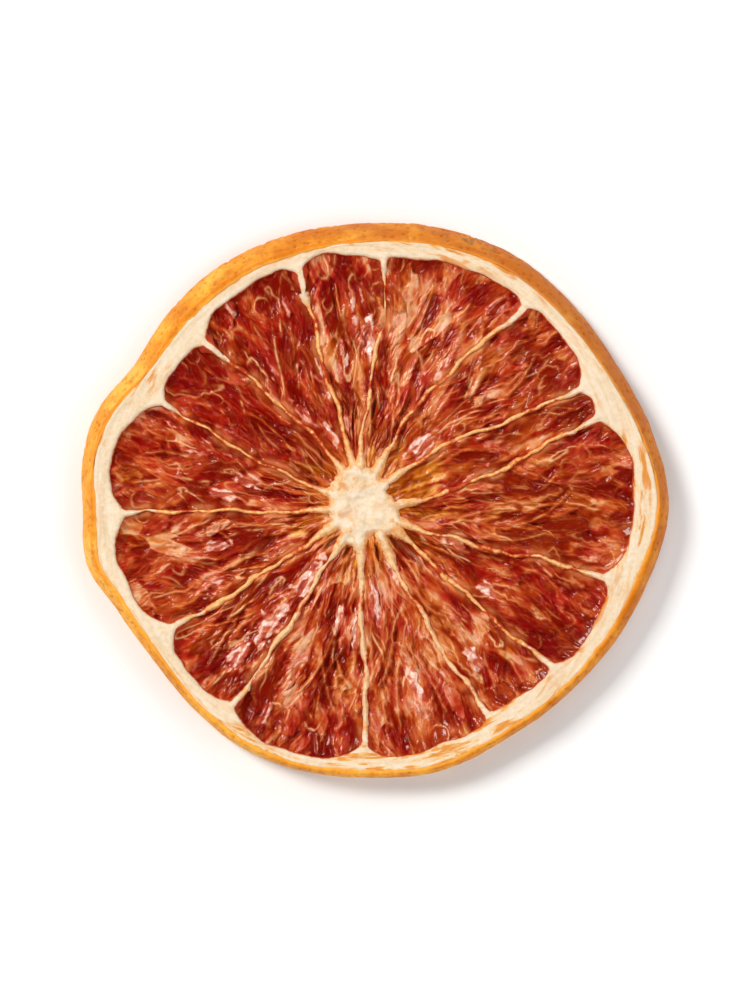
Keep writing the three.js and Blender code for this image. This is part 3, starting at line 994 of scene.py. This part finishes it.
    def crevices(self):
        """In places the flesh has drawn back from its membranes: there it drops and is painted deeper red, as
        shade along the membrane. Elsewhere it clings to them."""
        width = width_at(self.segment, self.radius)
        for side, aside in ((0, self.across * width), (1, (1 - self.across) * width)):
            line = pair(self.radius, 50.0 * (self.segment + side))
            open_here = smooth(noise(line, 5.0, 27) + 0.4 * noise(line, 1.6, 28), -0.35, 0.35)
            drawn = open_here * bell(aside, 0.85) * smooth(self.radius, 6, 9)
            # Where the flesh has drawn back it drops, and its tone is lowered as painted shade.
            self.height -= 0.35 * drawn
            self.tone -= 0.42 * drawn
            self.gold *= 1 - drawn
            self.vein *= 1 - drawn
            joined = (1 - open_here) * bell(aside - 0.6, 0.55) * smooth(self.radius, 8, 12)
            self.height += 0.16 * joined
            self.tone += 0.1 * joined
            self.gold = np.maximum(self.gold, 0.6 * joined)
            self.vein = np.maximum(self.vein, 0.42 * joined)

    def crumple(self):
        """Fine folds that run along each sac: their crests are painted paler and their valleys deeper red, as
        light and shade on the folds.
        """
        grain = self.grain[:, :2]
        self.tone += 0.42 * self.variety * self.drift
        for across_size, along_size, rise, shade in FOLDS:
            bent = grain + 0.3 * noise(grain, 1.2, self.seed + 6)[:, None]
            fold = 0.55 - 2 * np.abs(noise(bent / (across_size, along_size), 1.0, self.seed + 7))
            self.height += rise * fold * (1 - self.dark) * (0.4 + 0.6 * self.busy)
            # Painted light and shade: the tone follows each fold's height.
            self.tone += 1.2 * shade * fold * self.busy
        self.tone += 0.07

    def pleats(self):
        """Long folds that run out from the core: orange crests with deep red troughs between them, the crests
        painted paler and the troughs deeper red as light and shade.
        """
        aside = self.across * width_at(self.segment, 22.0)
        bend = 0.5 * noise(self.spot, 6.0, self.seed + 8) + 0.16 * noise(self.spot, 1.8, self.seed + 9)
        for across_size, along_size, share in PLEATS:
            net = pair(aside / across_size + bend * 2.0 / across_size, self.radius / along_size)
            fold = 0.5 - 2.2 * np.abs(noise(net, 1.0, self.seed + 10))
            strong = share * smooth(noise(self.spot, 7.0, self.seed + 11), -0.45, 0.3)
            strong = strong * smooth(self.radius, 6, 10)
            self.height += 0.28 * fold * strong
            # Painted light and shade: the tone follows the fold's height, and the troughs lose their amber.
            self.tone += 0.46 * self.variety * (fold - 0.05) * strong
            crest = smooth(fold, 0.3, 0.5) * smooth(self.warp, -0.3, 0.6) * strong
            self.vein = np.maximum(self.vein, 0.4 * crest)
            self.gold = np.clip(self.gold * (1 - 0.5 * strong * smooth(-fold, 0, 0.5)) + 0.3 * crest, 0, 1)

    def own(self, table, at=0):
        """The rows of a table whose bearing and radius, which stand at that column, are in this segment."""
        for row in table:
            bearing, radius = row[at:at + 2]
            first = wall_bearing(self.segment, radius)
            if (bearing - first) % 360 < (wall_bearing(self.segment + 1, radius) - first) % 360:
                yield row

    def scatter(self, count_per_mm2, low, high):
        """Random places of the segment from one radius to another, evenly spread: for each its radius,
        its x and y, and the way the sacs point there."""
        rows = []
        radius = low
        step = 1 / math.sqrt(count_per_mm2)
        while radius < high:
            count = max(1, int(round(width_at(self.segment, radius) / step)))
            for k in range(count):
                across = (k + self.rng.uniform(0.05, 0.95)) / count
                rows.append((across, radius + self.rng.uniform(-0.5, 0.5) * step))
            radius += step
        self.rng.shuffle(rows)
        for across, radius in rows:
            x, y = spot_at(bearing_at(self.segment, across, radius), radius)
            yield radius, x, y, self.flow(across, radius)

    def lay(self):
        """Lay the whole face."""
        self.lay_sacs()
        self.crumple()
        self.pleats()
        self.lay_marks()
        self.lay_named()
        self.lay_threads()
        self.crevices()
        pressed = TONE_KNEE + TONE_ROOM * np.tanh((self.tone - TONE_KNEE) / TONE_ROOM)
        self.tone = np.where(self.tone > TONE_KNEE, pressed, self.tone)

    def lay_sacs(self):
        """Large sacs, and smaller ones over them: clear gold near the core, and darker near the pith."""
        rng = self.rng
        for density, long, wide in SACS:
            for radius, x, y, flow in self.scatter(density, 5.5, 38):
                short = lerp(1.0, 0.6, smooth(radius, 28, 35))
                near_core = 1 - smooth(radius, 7, 14)
                usual_gold = SEGMENT_GOLD[self.segment] + 0.7 * near_core
                gold = np.clip(rng.normal(usual_gold, 0.34 * self.variety), 0, 1)
                usual_tone = 0.23 + 0.34 * self.pale + 0.1 * near_core - 0.08 * smooth(radius, 26, 34)
                tone = np.clip(rng.normal(usual_tone, 0.2 * self.variety), 0, 1)
                outline = rng.choice([0, 0.35, 0.7], p=[0.45, 0.3, 0.25])
                self.sac(
                    x, y, flow + rng.normal(0, 0.24),
                    long * short * rng.uniform(0.7, 1.3), wide * rng.uniform(0.7, 1.3), tone, gold, outline,
                )

    def lay_marks(self):
        """Scattered ribbons, rings, fans and skins."""
        uniform, normal = self.rng.uniform, self.rng.normal
        for radius, x, y, flow in self.scatter(0.035, 8, 35):
            if uniform() < 0.35 + 0.6 * self.pale:
                heading = flow + normal(0, 0.12)
                long = uniform(2.5, 9) * lerp(1, 0.6, smooth(radius, 26, 34))
                self.ribbon(x, y, heading, long, uniform(0.12, 0.35), uniform(0.3, 1))
        for _, x, y, _ in self.scatter(0.06, 29.5, 37):
            if uniform() < 0.4:
                self.ring(x, y, uniform(0, 3), uniform(0.7, 1.3), uniform(1, 1.5), uniform(0.3, 0.8))
        for _, x, y, flow in self.scatter(0.035, 9, 35):
            if uniform() < 0.6:
                heading = flow + normal(0, 0.15)
                self.ring(x, y, heading, uniform(0.5, 1.0), uniform(2.2, 4.5), uniform(0.35, 0.85))
        for _, x, y, flow in self.scatter(0.012, 12, 32):
            heading = flow + (math.pi if uniform() < 0.6 else 0)
            self.fan(x, y, heading, uniform(3.5, 7), uniform(0.4, 1) * (0.35 + 0.8 * self.pale))
        for _, x, y, flow in self.scatter(0.03, 9, 36):
            if uniform() < 0.45:
                heading = flow + normal(0, 0.1)
                self.skin(x, y, heading, uniform(1.5, 4.0), uniform(0.4, 0.9), uniform(0.4, 0.8))

    def lay_named(self):
        """The marks of this segment that the tables name. Next to the core, all flesh is clear."""
        for bearing, radius, *size in self.own(GLINTING_SKINS):
            self.skin(*spot_at(bearing, radius), math.radians(bearing), *size)
        for bearing, radius, *size in self.own(FANS):
            self.fan(*spot_at(bearing, radius), math.radians(bearing), *size)
        for bearing, radius, *size in self.own(HONEY):
            self.ripe(*spot_at(bearing, radius), math.radians(bearing + 8), *size)
        clear = (1 - smooth(self.radius, 5.5, 10.5)) * (0.65 + 0.3 * self.warp)
        self.honey = np.maximum(self.honey, np.clip(clear, 0, 0.9))
        for *ends, half_width in self.own(HOLLOWS, 2):
            self.hollow(*span(*ends), half_width)
        for *ends, bow, half_width in self.own(WRINKLES, 2):
            self.wrinkle(*span(*ends), bow, half_width)

    def lay_threads(self):
        """Long single threads, then bunches of short ones."""
        rng = self.rng
        for _, x, y, flow in self.scatter(0.018, 11, 29):
            length = rng.uniform(6, 13)
            heading = flow + rng.normal(0, 0.08)
            self.fibre(x, y, heading, length, rng.uniform(0.35, 0.85), rng.uniform(0.12, 0.22))
        for _, x, y, flow in self.scatter(0.04, 7, 37):
            spread = rng.uniform(0.05, 0.25)
            for _ in range(rng.integers(1, 4)):
                length = rng.uniform(1.8, 6.5)
                heading = flow + rng.normal(0, spread)
                strength = 0.15 + 0.75 * rng.uniform() ** 2
                self.fibre(
                    x + length / 2 * math.cos(heading), y + length / 2 * math.sin(heading), heading, length,
                    strength, rng.uniform(0.08, 0.2),
                )


def pulp_surface(segment, across, radius, face):
    """Points of the pulp on one face, and what the material needs to know about them."""
    reach = reach_at(segment, across)
    from_wall = from_walls(segment, across, radius)
    from_edge = np.minimum(from_wall, reach - radius)
    laid = PulpFace(segment, across, radius, face)
    laid.lay()
    sag = PULP_SAG * smooth(np.minimum(from_edge, radius - CORE_RADIUS), 0, SAG_REACH)
    level = PULP_TOP + 0.15 - sag + 0.2 * noise(laid.spot, 7.0, 95 + face)
    level = level + laid.height * (0.3 + 0.7 * smooth(from_edge, 0.1, 0.8))
    level = level + 0.5 * np.exp(-np.maximum(reach - radius, 0) / 0.7)
    points = put(laid.bearing, radius, np.maximum(level, PULP_FLOOR), face)
    return points, {"spot": points, **{key: getattr(laid, key) for key in MASKS}}


def pulp(segment, material):
    """One segment's pulp, a slab that reaches just into the membranes, the core and the pith."""
    outer_width = width_at(segment, PITH_RADIUS)
    columns = 2 * max(10, int(round(outer_width / PULP_SPACING / 2))) + 1
    rows_at, columns_at = np.meshgrid(np.linspace(0, 1, PULP_ROWS), np.linspace(0, 1, columns), indexing="ij")
    points, masks, faces, rims = [], [], [], []
    for face, stride, centre in ((TOP, 1, 0.25), (BOTTOM, 2, 0.75)):
        u, v = columns_at[::stride, ::stride], rows_at[::stride, ::stride]
        radius = lerp(PULP_TIP[segment] - INNER_TUCK, reach_at(segment, u) + OUTER_TUCK, v)
        width = width_at(segment, radius)
        inset = SIDE_TUCK / width
        across = lerp(inset, 1 - inset, u)
        index = net_index(*v.shape, sum(map(len, points)))
        made, looks = pulp_surface(segment, across.ravel(), radius.ravel(), face)
        points.append(made)
        masks.append(looks)
        rims.append(np.concatenate([index[0, :-1], index[:-1, -1], index[-1, :0:-1], index[:0:-1, 0]]))
        spread = (across - 0.5) * width / (outer_width * 1.15)
        quads = patch(index, np.stack([centre + 0.48 * spread, 0.012 + 0.976 * v], -1))
        faces += quads if face == TOP else flipped(quads)
    # the sides: two edges of the upper face's rim meet one of the lower face's
    fine, a = rims
    b = np.roll(a, -1)
    f0, f1, f2 = fine[::2], fine[1::2], np.roll(fine, -2)[::2]
    sides = np.concatenate([np.stack([a, f1, f0], 1), np.stack([a, b, f1], 1), np.stack([b, f2, f1], 1)])
    faces.append((sides, hidden_places(sides)))
    merged = {key: np.concatenate([looks[key] for looks in masks]) for key in masks[0]}
    return piece(f"pulp_{segment + 1:02d}", np.concatenate(points), faces, material, merged)


# ---- Rind -----------------------------------------------------------------------------------------

RIND_COLUMNS = 1650
SIDE_ROWS = 32
RIND_GAP = 0.006
LIP = 0.4  # how far in from the rim's side its rounded edges begin
SLOPE = 0.12  # how much lower the rind lies where it meets the pith
LOWER_BAND = 0.78  # how wide a band of rind the lower face shows
HIDDEN_DEPTH = 0.95  # how deep the ends of the rind's section go, behind the pith
CORNER_ROW = 6  # the row of points at the outer corner of the cut
RIND_RADIUS = 41  # about how far out the rind lies, for the number of pores round it
PORE_SPACING = 1.15
PORE_RADIUS = 0.22
PORE_DEPTH = 0.14
SCAR_BEARING, SCAR_SPREAD = 68, 5


def rind_section(bearing, ragged):
    """The rows of points down the rind's section: how far out and how high each is."""
    cut, foot = cut_radius(bearing), outline_radius(bearing)
    top, bottom = RIM_HEIGHT + rim_rise(bearing), foot_rise(bearing)
    top_side, bottom_side = top - EDGE_ROUNDING, bottom + EDGE_ROUNDING
    inner = cut - cut_rind(bearing) + ragged
    rows = [(inner - 0.5, top - HIDDEN_DEPTH), (inner, top - SLOPE)]
    for step in np.linspace(0, 1, 5)[1:]:
        rows.append((lerp(inner, cut - LIP, step), top - SLOPE * (1 - step) ** 2))
    for turn in np.linspace(0, math.pi / 2, 5)[1:]:
        rows.append((cut - LIP * (1 - math.sin(turn)), top - EDGE_ROUNDING * (1 - math.cos(turn))))
    for down in np.linspace(0, 1, SIDE_ROWS)[1:]:
        bulge = RIND_BULGE * math.sin(math.pi * down)
        rows.append((lerp(cut, foot, down) + bulge, lerp(top_side, bottom_side, down)))
    for turn in np.linspace(math.pi / 2, 0, 5)[1:]:
        rows.append((foot - LIP * (1 - math.sin(turn)), bottom + EDGE_ROUNDING * (1 - math.cos(turn))))
    for step in np.linspace(1, 0, 5)[1:]:
        rows.append((lerp(foot - LOWER_BAND - ragged, foot - LIP, step), bottom + SLOPE * (1 - step) ** 2))
    rows.append((foot - 1.25, bottom + HIDDEN_DEPTH))
    return np.array(rows).swapaxes(0, 1)


def between_ends(path, near, far):
    """1 all along a path but for its two ends, where it goes down to 0."""
    return smooth(path, near, far) * (1 - smooth(path, path[-1] - far, path[-1] - near))


def rind(material):
    """The rind: a ring whose section is a closed loop. Its oil glands have dried to open pores."""
    bearing = np.arange(RIND_COLUMNS) * 360 / RIND_COLUMNS
    spot = spot_at(bearing, 40)
    out, height = rind_section(bearing, 0.12 * noise(spot, 1.5, 111) + 0.12 * noise(spot, 5.0, 112))
    solid = points_at(bearing, out, height)
    step = np.hypot(np.diff(out, axis=0), np.diff(height, axis=0))
    path = np.concatenate([np.zeros((1, RIND_COLUMNS)), np.cumsum(step, 0)])
    around = int(round(2 * math.pi * RIND_RADIUS / PORE_SPACING))
    near, name = ring_cells(bearing / 360 * around + 0 * path, path / PORE_SPACING + 0.3, around, 121)
    pit = bell(near * PORE_SPACING, PORE_RADIUS) * smooth(name, 0.1, 0.9)
    pebble = 0.05 * smooth(near * PORE_SPACING, 0.2, 0.55)
    outside = between_ends(path, 0.95, 1.6)
    swell = 0.05 * fractal(solid, 2.2, 131) + 0.12 * noise(solid * (1, 1, 0.5), 4.5, 132)
    rise = outside * (pebble - PORE_DEPTH * pit - 0.05) + 0.8 * swell * between_ends(path, 0.3, 1.2)
    along_out, along_up = np.gradient(out, axis=0), np.gradient(height, axis=0)
    size = np.hypot(along_out, along_up)
    out = out - along_up / size * rise
    height = np.maximum(height + along_out / size * rise, foot_rise(bearing) * 0.5 + CLEAR)
    flat = points_at(bearing, out, height).reshape(-1, 3)

    index = closed(net_index(*path.shape))
    faces = []
    for part, low, high in strips(index, RIND_GAP):
        faces += patch(part, island(*part.shape, low, high))
    faces += patch(index[[-1, 0]])
    # Browner towards the upper right, at bearing 35: partly the rind's own browning and partly painted shade
    # on the side away from the light; the fractal adds browner patches.
    browned_and_shaded = 0.35 + 0.6 * np.cos(np.radians(bearing - 35)) + 0.6 * fractal(solid, 5.0, 171)
    corner = path[CORNER_ROW] + 0.25 * noise(solid, 4.0, 173)
    scarred = smooth(fractal(solid * (1, 1, 0.6), 1.5, 172), 0.0, 0.5) * outside
    attributes = {
        "pore": pit * outside,
        "cutface": 1 - outside,
        "brown": np.clip(browned_and_shaded, 0, 1),
        "scar": bell(from_bearing(bearing, SCAR_BEARING), SCAR_SPREAD) * scarred,
        "line": bell(path - corner, 0.2) * smooth(np.cos(np.radians(bearing - 120)), -0.2, 0.7),
    }
    attributes = {key: values.ravel() for key, values in attributes.items()}
    return piece("rind", flat, faces, material, {"spot": flat, **attributes})


# ---- Materials ------------------------------------------------------------------------------------

def srgb(red, green, blue):
    """A linear colour from the 0-255 values that a screen shows."""
    def linear(c):
        c /= 255
        return c / 12.92 if c <= 0.04045 else ((c + 0.055) / 1.055) ** 2.4
    return (linear(red), linear(green), linear(blue), 1.0)


class Paint:
    """A material and short names for the nodes that make it. Their inputs are numbers, colours as
    three 0-255 values, or other nodes' outputs."""

    def __init__(self, name):
        self.material = bpy.data.materials.new(name)
        self.material.use_nodes = True
        self.tree = self.material.node_tree

    def link(self, source, socket):
        if isinstance(source, bpy.types.NodeSocket):
            self.tree.links.new(source, socket)
        else:
            socket.default_value = source

    def node(self, kind, output, inputs, **settings):
        made = self.tree.nodes.new("ShaderNode" + kind)
        for key, value in settings.items():
            setattr(made, key, value)
        for key, value in inputs.items():
            self.link(value, made.inputs[key])
        return made.outputs[output]

    def masks(self, names):
        return [self.node("Attribute", "Fac", {}, attribute_name=name) for name in names.split()]

    def vector(self, name):
        return self.node("Attribute", "Vector", {}, attribute_name=name)

    def noise(self, vector, scale, detail=3.0, roughness=0.55, distortion=0.0):
        """Noise of one scale, or stretched by a scale for each axis."""
        if isinstance(scale, tuple):
            vector = self.node("Mapping", 0, {"Vector": vector, "Scale": scale})
            scale = 1.0
        return self.node("TexNoise", "Fac", {
            "Vector": vector, "Scale": scale, "Detail": detail,
            "Roughness": roughness, "Distortion": distortion,
        })

    def maths(self, operation, a, b, clamp=False):
        return self.node("Math", 0, {0: a, 1: b}, operation=operation, use_clamp=clamp)

    def times(self, a, b, clamp=False):
        return self.maths("MULTIPLY", a, b, clamp)

    def plus(self, a, b, clamp=False):
        return self.maths("ADD", a, b, clamp)

    def remap(self, value, low, high, to_low=0.0, to_high=1.0):
        inputs = dict(enumerate((value, low, high, to_low, to_high)))
        return self.node("MapRange", 0, inputs, interpolation_type="SMOOTHSTEP")

    def ramp(self, value, *stops):
        """A colour for each value: each stop is a value and its colour."""
        made = self.tree.nodes.new("ShaderNodeValToRGB")
        elements = made.color_ramp.elements
        while len(elements) < len(stops):
            elements.new(0.5)
        for element, (at, colour) in zip(elements, stops):
            element.position = at
            element.color = srgb(*colour)
        self.link(value, made.inputs[0])
        return made.outputs[0]

    def mix(self, amount, under, over):
        """A colour laid over another."""
        if isinstance(over, tuple):
            over = srgb(*over)
        return self.node("Mix", 2, {0: amount, 6: under, 7: over}, data_type="RGBA")

    def bump(self, height, distance, strength):
        return self.node("Bump", 0, {"Height": height, "Distance": distance * MM, "Strength": strength})

    def set(self, **sockets):
        shader = self.tree.nodes["Principled BSDF"]
        for key, value in sockets.items():
            self.link(value, shader.inputs[key.replace("_", " ")])
        return self.material


def pulp_material():
    """Deep red flesh with paler, amber and crimson parts, a wet coat, pale skins with painted glints, painted
    sparkle, painted shade in the gaps and on the folds, and threads.
    """
    paint = Paint("dried_pulp")
    tone, gold, vein, film, dark, honey, busy = paint.masks("tone gold vein film dark honey busy")
    grain = paint.vector("grain")
    streaks = paint.noise(grain, (3.0, 0.48, 1.0), 3.0, 0.6)
    crinkles = paint.noise(grain, (1.7, 1.1, 1.0), 5.0, 0.65, 0.4)
    uneven = paint.plus(paint.times(streaks, 0.34), paint.times(crinkles, 0.46))
    value = paint.plus(tone, paint.times(busy, paint.maths("SUBTRACT", uneven, 0.41)), clamp=True)
    red = paint.ramp(
        value, (0.0, (122, 4, 0)), (0.25, (148, 18, 4)), (0.5, (176, 48, 17)), (0.75, (205, 99, 55)),
        (1.0, (238, 188, 162)),
    )
    amber = paint.ramp(
        value, (0.0, (130, 30, 0)), (0.35, (168, 68, 8)), (0.7, (207, 125, 60)), (1.0, (240, 202, 158)),
    )
    lit = paint.remap(value, 0.5, 0.85, 0.0, 0.25)
    colour = paint.mix(paint.plus(gold, lit, clamp=True), red, amber)
    crimson = paint.ramp(
        value, (0.0, (118, 2, 4)), (0.25, (146, 14, 16)), (0.5, (178, 43, 37)), (0.75, (206, 99, 78)),
        (1.0, (238, 192, 172)),
    )
    patches = paint.remap(paint.noise(paint.vector("spot"), 0.2), 0.46, 0.66, 0.0, 0.6)
    colour = paint.mix(patches, colour, crimson)
    clear = paint.ramp(
        value, (0.0, (128, 50, 2)), (0.4, (186, 98, 12)), (0.7, (226, 150, 48)), (1.0, (248, 208, 136)),
    )
    colour = paint.mix(paint.times(honey, 0.85), colour, clear)
    # Painted highlights: where their folds are, the shiny skins are painted from red through pink to near
    # white, as glints.
    painted_glint = paint.times(film, paint.remap(crinkles, 0.35, 0.65, 0.6, 1.1))
    skin = paint.ramp(
        painted_glint, (0.2, (176, 50, 38)), (0.45, (206, 112, 90)), (0.7, (230, 172, 152)), (1.0, (250, 226, 214)),
    )
    colour = paint.mix(paint.remap(film, 0.0, 0.5, 0.0, 0.9), colour, skin)
    threads = paint.remap(paint.noise(grain, (5.0, 0.45, 1.0), 2.0), 0.62, 0.74)
    colour = paint.mix(paint.times(threads, 0.22), colour, (232, 152, 84))
    # Painted highlights: fine specks painted pinkish white, as sparkle of light on the flesh.
    sparkle = paint.remap(paint.noise(grain, (1.6, 0.7, 1.0), 4.0, 0.7), 0.55, 0.7)
    sparkle = paint.times(sparkle, paint.remap(value, 0.25, 0.65, 0.08, 0.65))
    colour = paint.mix(paint.times(sparkle, busy), colour, (244, 200, 188))
    colour = paint.mix(vein, colour, paint.ramp(vein, (0.2, (222, 118, 48)), (0.9, (250, 204, 154))))
    # Painted shade: the gaps' floors are painted very deep red.
    colour = paint.mix(paint.times(dark, 0.85), colour, (112, 14, 2))
    fine = paint.noise(grain, (4.0, 1.3, 1.0), 4.0, 0.65)
    rough = paint.remap(fine, 0.3, 0.75, 0.25, 0.4)
    return paint.set(
        Base_Color=colour, Roughness=rough, Normal=paint.bump(fine, 0.14, 0.6),
        Subsurface_Weight=0.1, Subsurface_Scale=0.6 * MM, Subsurface_Radius=(1.0, 0.3, 0.12),
        Specular_IOR_Level=0.2, Specular_Tint=(1.0, 0.5, 0.35, 1.0), Coat_Weight=0.32, Coat_Roughness=0.13,
    )


def pith_material():
    """Cream, spongy pith, with orange oil where it is stained and red juice where it is soaked."""
    paint = Paint("dried_pith")
    spot, grain = paint.vector("spot"), paint.vector("grain")
    cream, juice, stain = paint.masks("cream juice stain")
    sponge = paint.noise(spot, 1.6, 5.0, 0.65)
    layers = paint.noise(grain, (0.14, 1.3, 1.3))
    value = paint.plus(paint.times(sponge, 0.5), paint.times(layers, 0.5))
    colour = paint.ramp(value, (0.3, (216, 188, 150)), (0.48, (231, 208, 176)), (0.66, (238, 223, 203)))
    blots = paint.remap(paint.noise(grain, (0.2, 1.0, 1.0), 4.0, 0.6, 0.5), 0.45, 0.63)
    oil = paint.ramp(blots, (0.2, (240, 194, 126)), (1.0, (218, 140, 58)))
    colour = paint.mix(paint.times(stain, blots), colour, oil)
    thin = paint.ramp(sponge, (0.35, (226, 142, 66)), (0.65, (250, 206, 138)))
    colour = paint.mix(cream, thin, colour)
    soaked = paint.times(juice, paint.remap(sponge, 0.35, 0.6, 1.3, 0.65), clamp=True)
    wet = paint.ramp(soaked, (0.3, (222, 108, 42)), (0.75, (178, 48, 12)))
    colour = paint.mix(paint.remap(soaked, 0.05, 0.6, 0.0, 0.97), colour, wet)
    return paint.set(
        Base_Color=colour, Roughness=0.7, Normal=paint.bump(sponge, 0.2, 0.9), Subsurface_Weight=0.15,
        Subsurface_Scale=0.8 * MM, Subsurface_Radius=(1.0, 0.7, 0.4), Specular_IOR_Level=0.3,
    )


def rind_material():
    """Orange rind with browner patches and painted shade on its upper right side, specks and pores, a scar,
    and a paler cut face.
    """
    paint = Paint("dried_rind")
    spot = paint.vector("spot")
    pore, cut_face, brown, scar, line = paint.masks("pore cutface brown scar line")
    fine = paint.noise(spot, 1.4, 4.0)
    value = paint.plus(paint.times(paint.noise(spot, 0.12), 0.6), paint.times(fine, 0.4))
    colour = paint.ramp(value, (0.34, (212, 122, 20)), (0.5, (240, 160, 44)), (0.66, (251, 192, 84)))
    # Browner patches, and painted shade on the upper right side.
    colour = paint.mix(paint.times(brown, 0.85), colour, (194, 98, 4))
    specks = paint.remap(paint.noise(spot, 0.7, 5.0, 0.65), 0.5, 0.64, 0.0, 0.5)
    colour = paint.mix(specks, colour, (184, 88, 6))
    for mask, share, tint in (
        (pore, 0.6, (140, 66, 8)),
        (cut_face, 0.6, (248, 176, 84)),
        (line, 0.7, (218, 118, 20)),
        (scar, 0.6, (120, 84, 50)),
    ):
        colour = paint.mix(paint.times(mask, share), colour, tint)
    return paint.set(
        Base_Color=colour, Roughness=0.5, Normal=paint.bump(fine, 0.1, 0.6), Subsurface_Weight=0.1,
        Subsurface_Scale=0.5 * MM, Subsurface_Radius=(1.0, 0.4, 0.1), Specular_IOR_Level=0.2,
        Specular_Tint=(1.0, 0.75, 0.45, 1.0),
    )


# ---- Stage ----------------------------------------------------------------------------------------

FLOOR_HALF = 0.6  # in metres, as all that follows
SHOWN_WIDTH = 0.108
VIEW_SHAPE = 0.75  # the view's width by its height
LENS, SENSOR = 180, 36
# Lamps: name, place, size, power, colour.
LAMPS = (
    ("key", (-0.54, 0.36, 0.6), 0.28, 7.2, (1.0, 0.97, 0.93)),
    ("fill", (0.62, -0.25, 0.5), 0.6, 3.4, (1.0, 1.0, 1.0)),
    ("back", (0.3, 0.7, 0.5), 0.6, 2.7, (1.0, 1.0, 1.0)),
    ("front", (-0.25, -0.7, 0.5), 0.6, 2.7, (1.0, 1.0, 1.0)),
)


def floor():
    """A plain pale floor."""
    mesh = bpy.data.meshes.new("floor")
    corners = [(FLOOR_HALF * x, FLOOR_HALF * y, 0) for x, y in ((-1, -1), (1, -1), (1, 1), (-1, 1))]
    mesh.from_pydata(corners, [], [(0, 1, 2, 3)])
    mesh.materials.append(Paint("floor").set(Base_Color=(0.9, 0.9, 0.9, 1), Roughness=0.9))
    stand("floor", mesh)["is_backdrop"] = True


def lighting():
    """Soft light, most of it from the left, and a faint white surround."""
    for name, spot, size, power, tint in LAMPS:
        light = bpy.data.lights.new(name, "AREA")
        light.size = size
        light.energy = power
        light.color = tint
        lamp = stand(name, light)
        lamp.location = spot
        lamp.rotation_euler = Vector(spot).to_track_quat("Z", "Y").to_euler()
        lamp.visible_glossy = name == "key"
    world = bpy.data.worlds.new("studio")
    world.use_nodes = True
    background = world.node_tree.nodes["Background"]
    background.inputs["Color"].default_value = (1, 1, 1, 1)
    background.inputs["Strength"].default_value = 0.06
    bpy.context.scene.world = world
    bpy.context.scene.view_settings.view_transform = "Standard"


def camera():
    """A camera that looks straight down on the slice."""
    low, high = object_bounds()
    middle = (low + high) / 2
    lens = bpy.data.cameras.new("camera")
    lens.lens = LENS
    lens.sensor_width = SENSOR
    view = stand("camera", lens)
    view.location = (middle.x, middle.y, high.z + SHOWN_WIDTH * LENS / (SENSOR * VIEW_SHAPE))
    bpy.context.scene.camera = view


# ---- The slice ------------------------------------------------------------------------------------

pale = pith_material()
flesh = pulp_material()
rind(rind_material())
pith(pale)
membranes(pale)
core(pale)
for each in range(COUNT):
    pulp(each, flesh)
floor()
lighting()
camera()
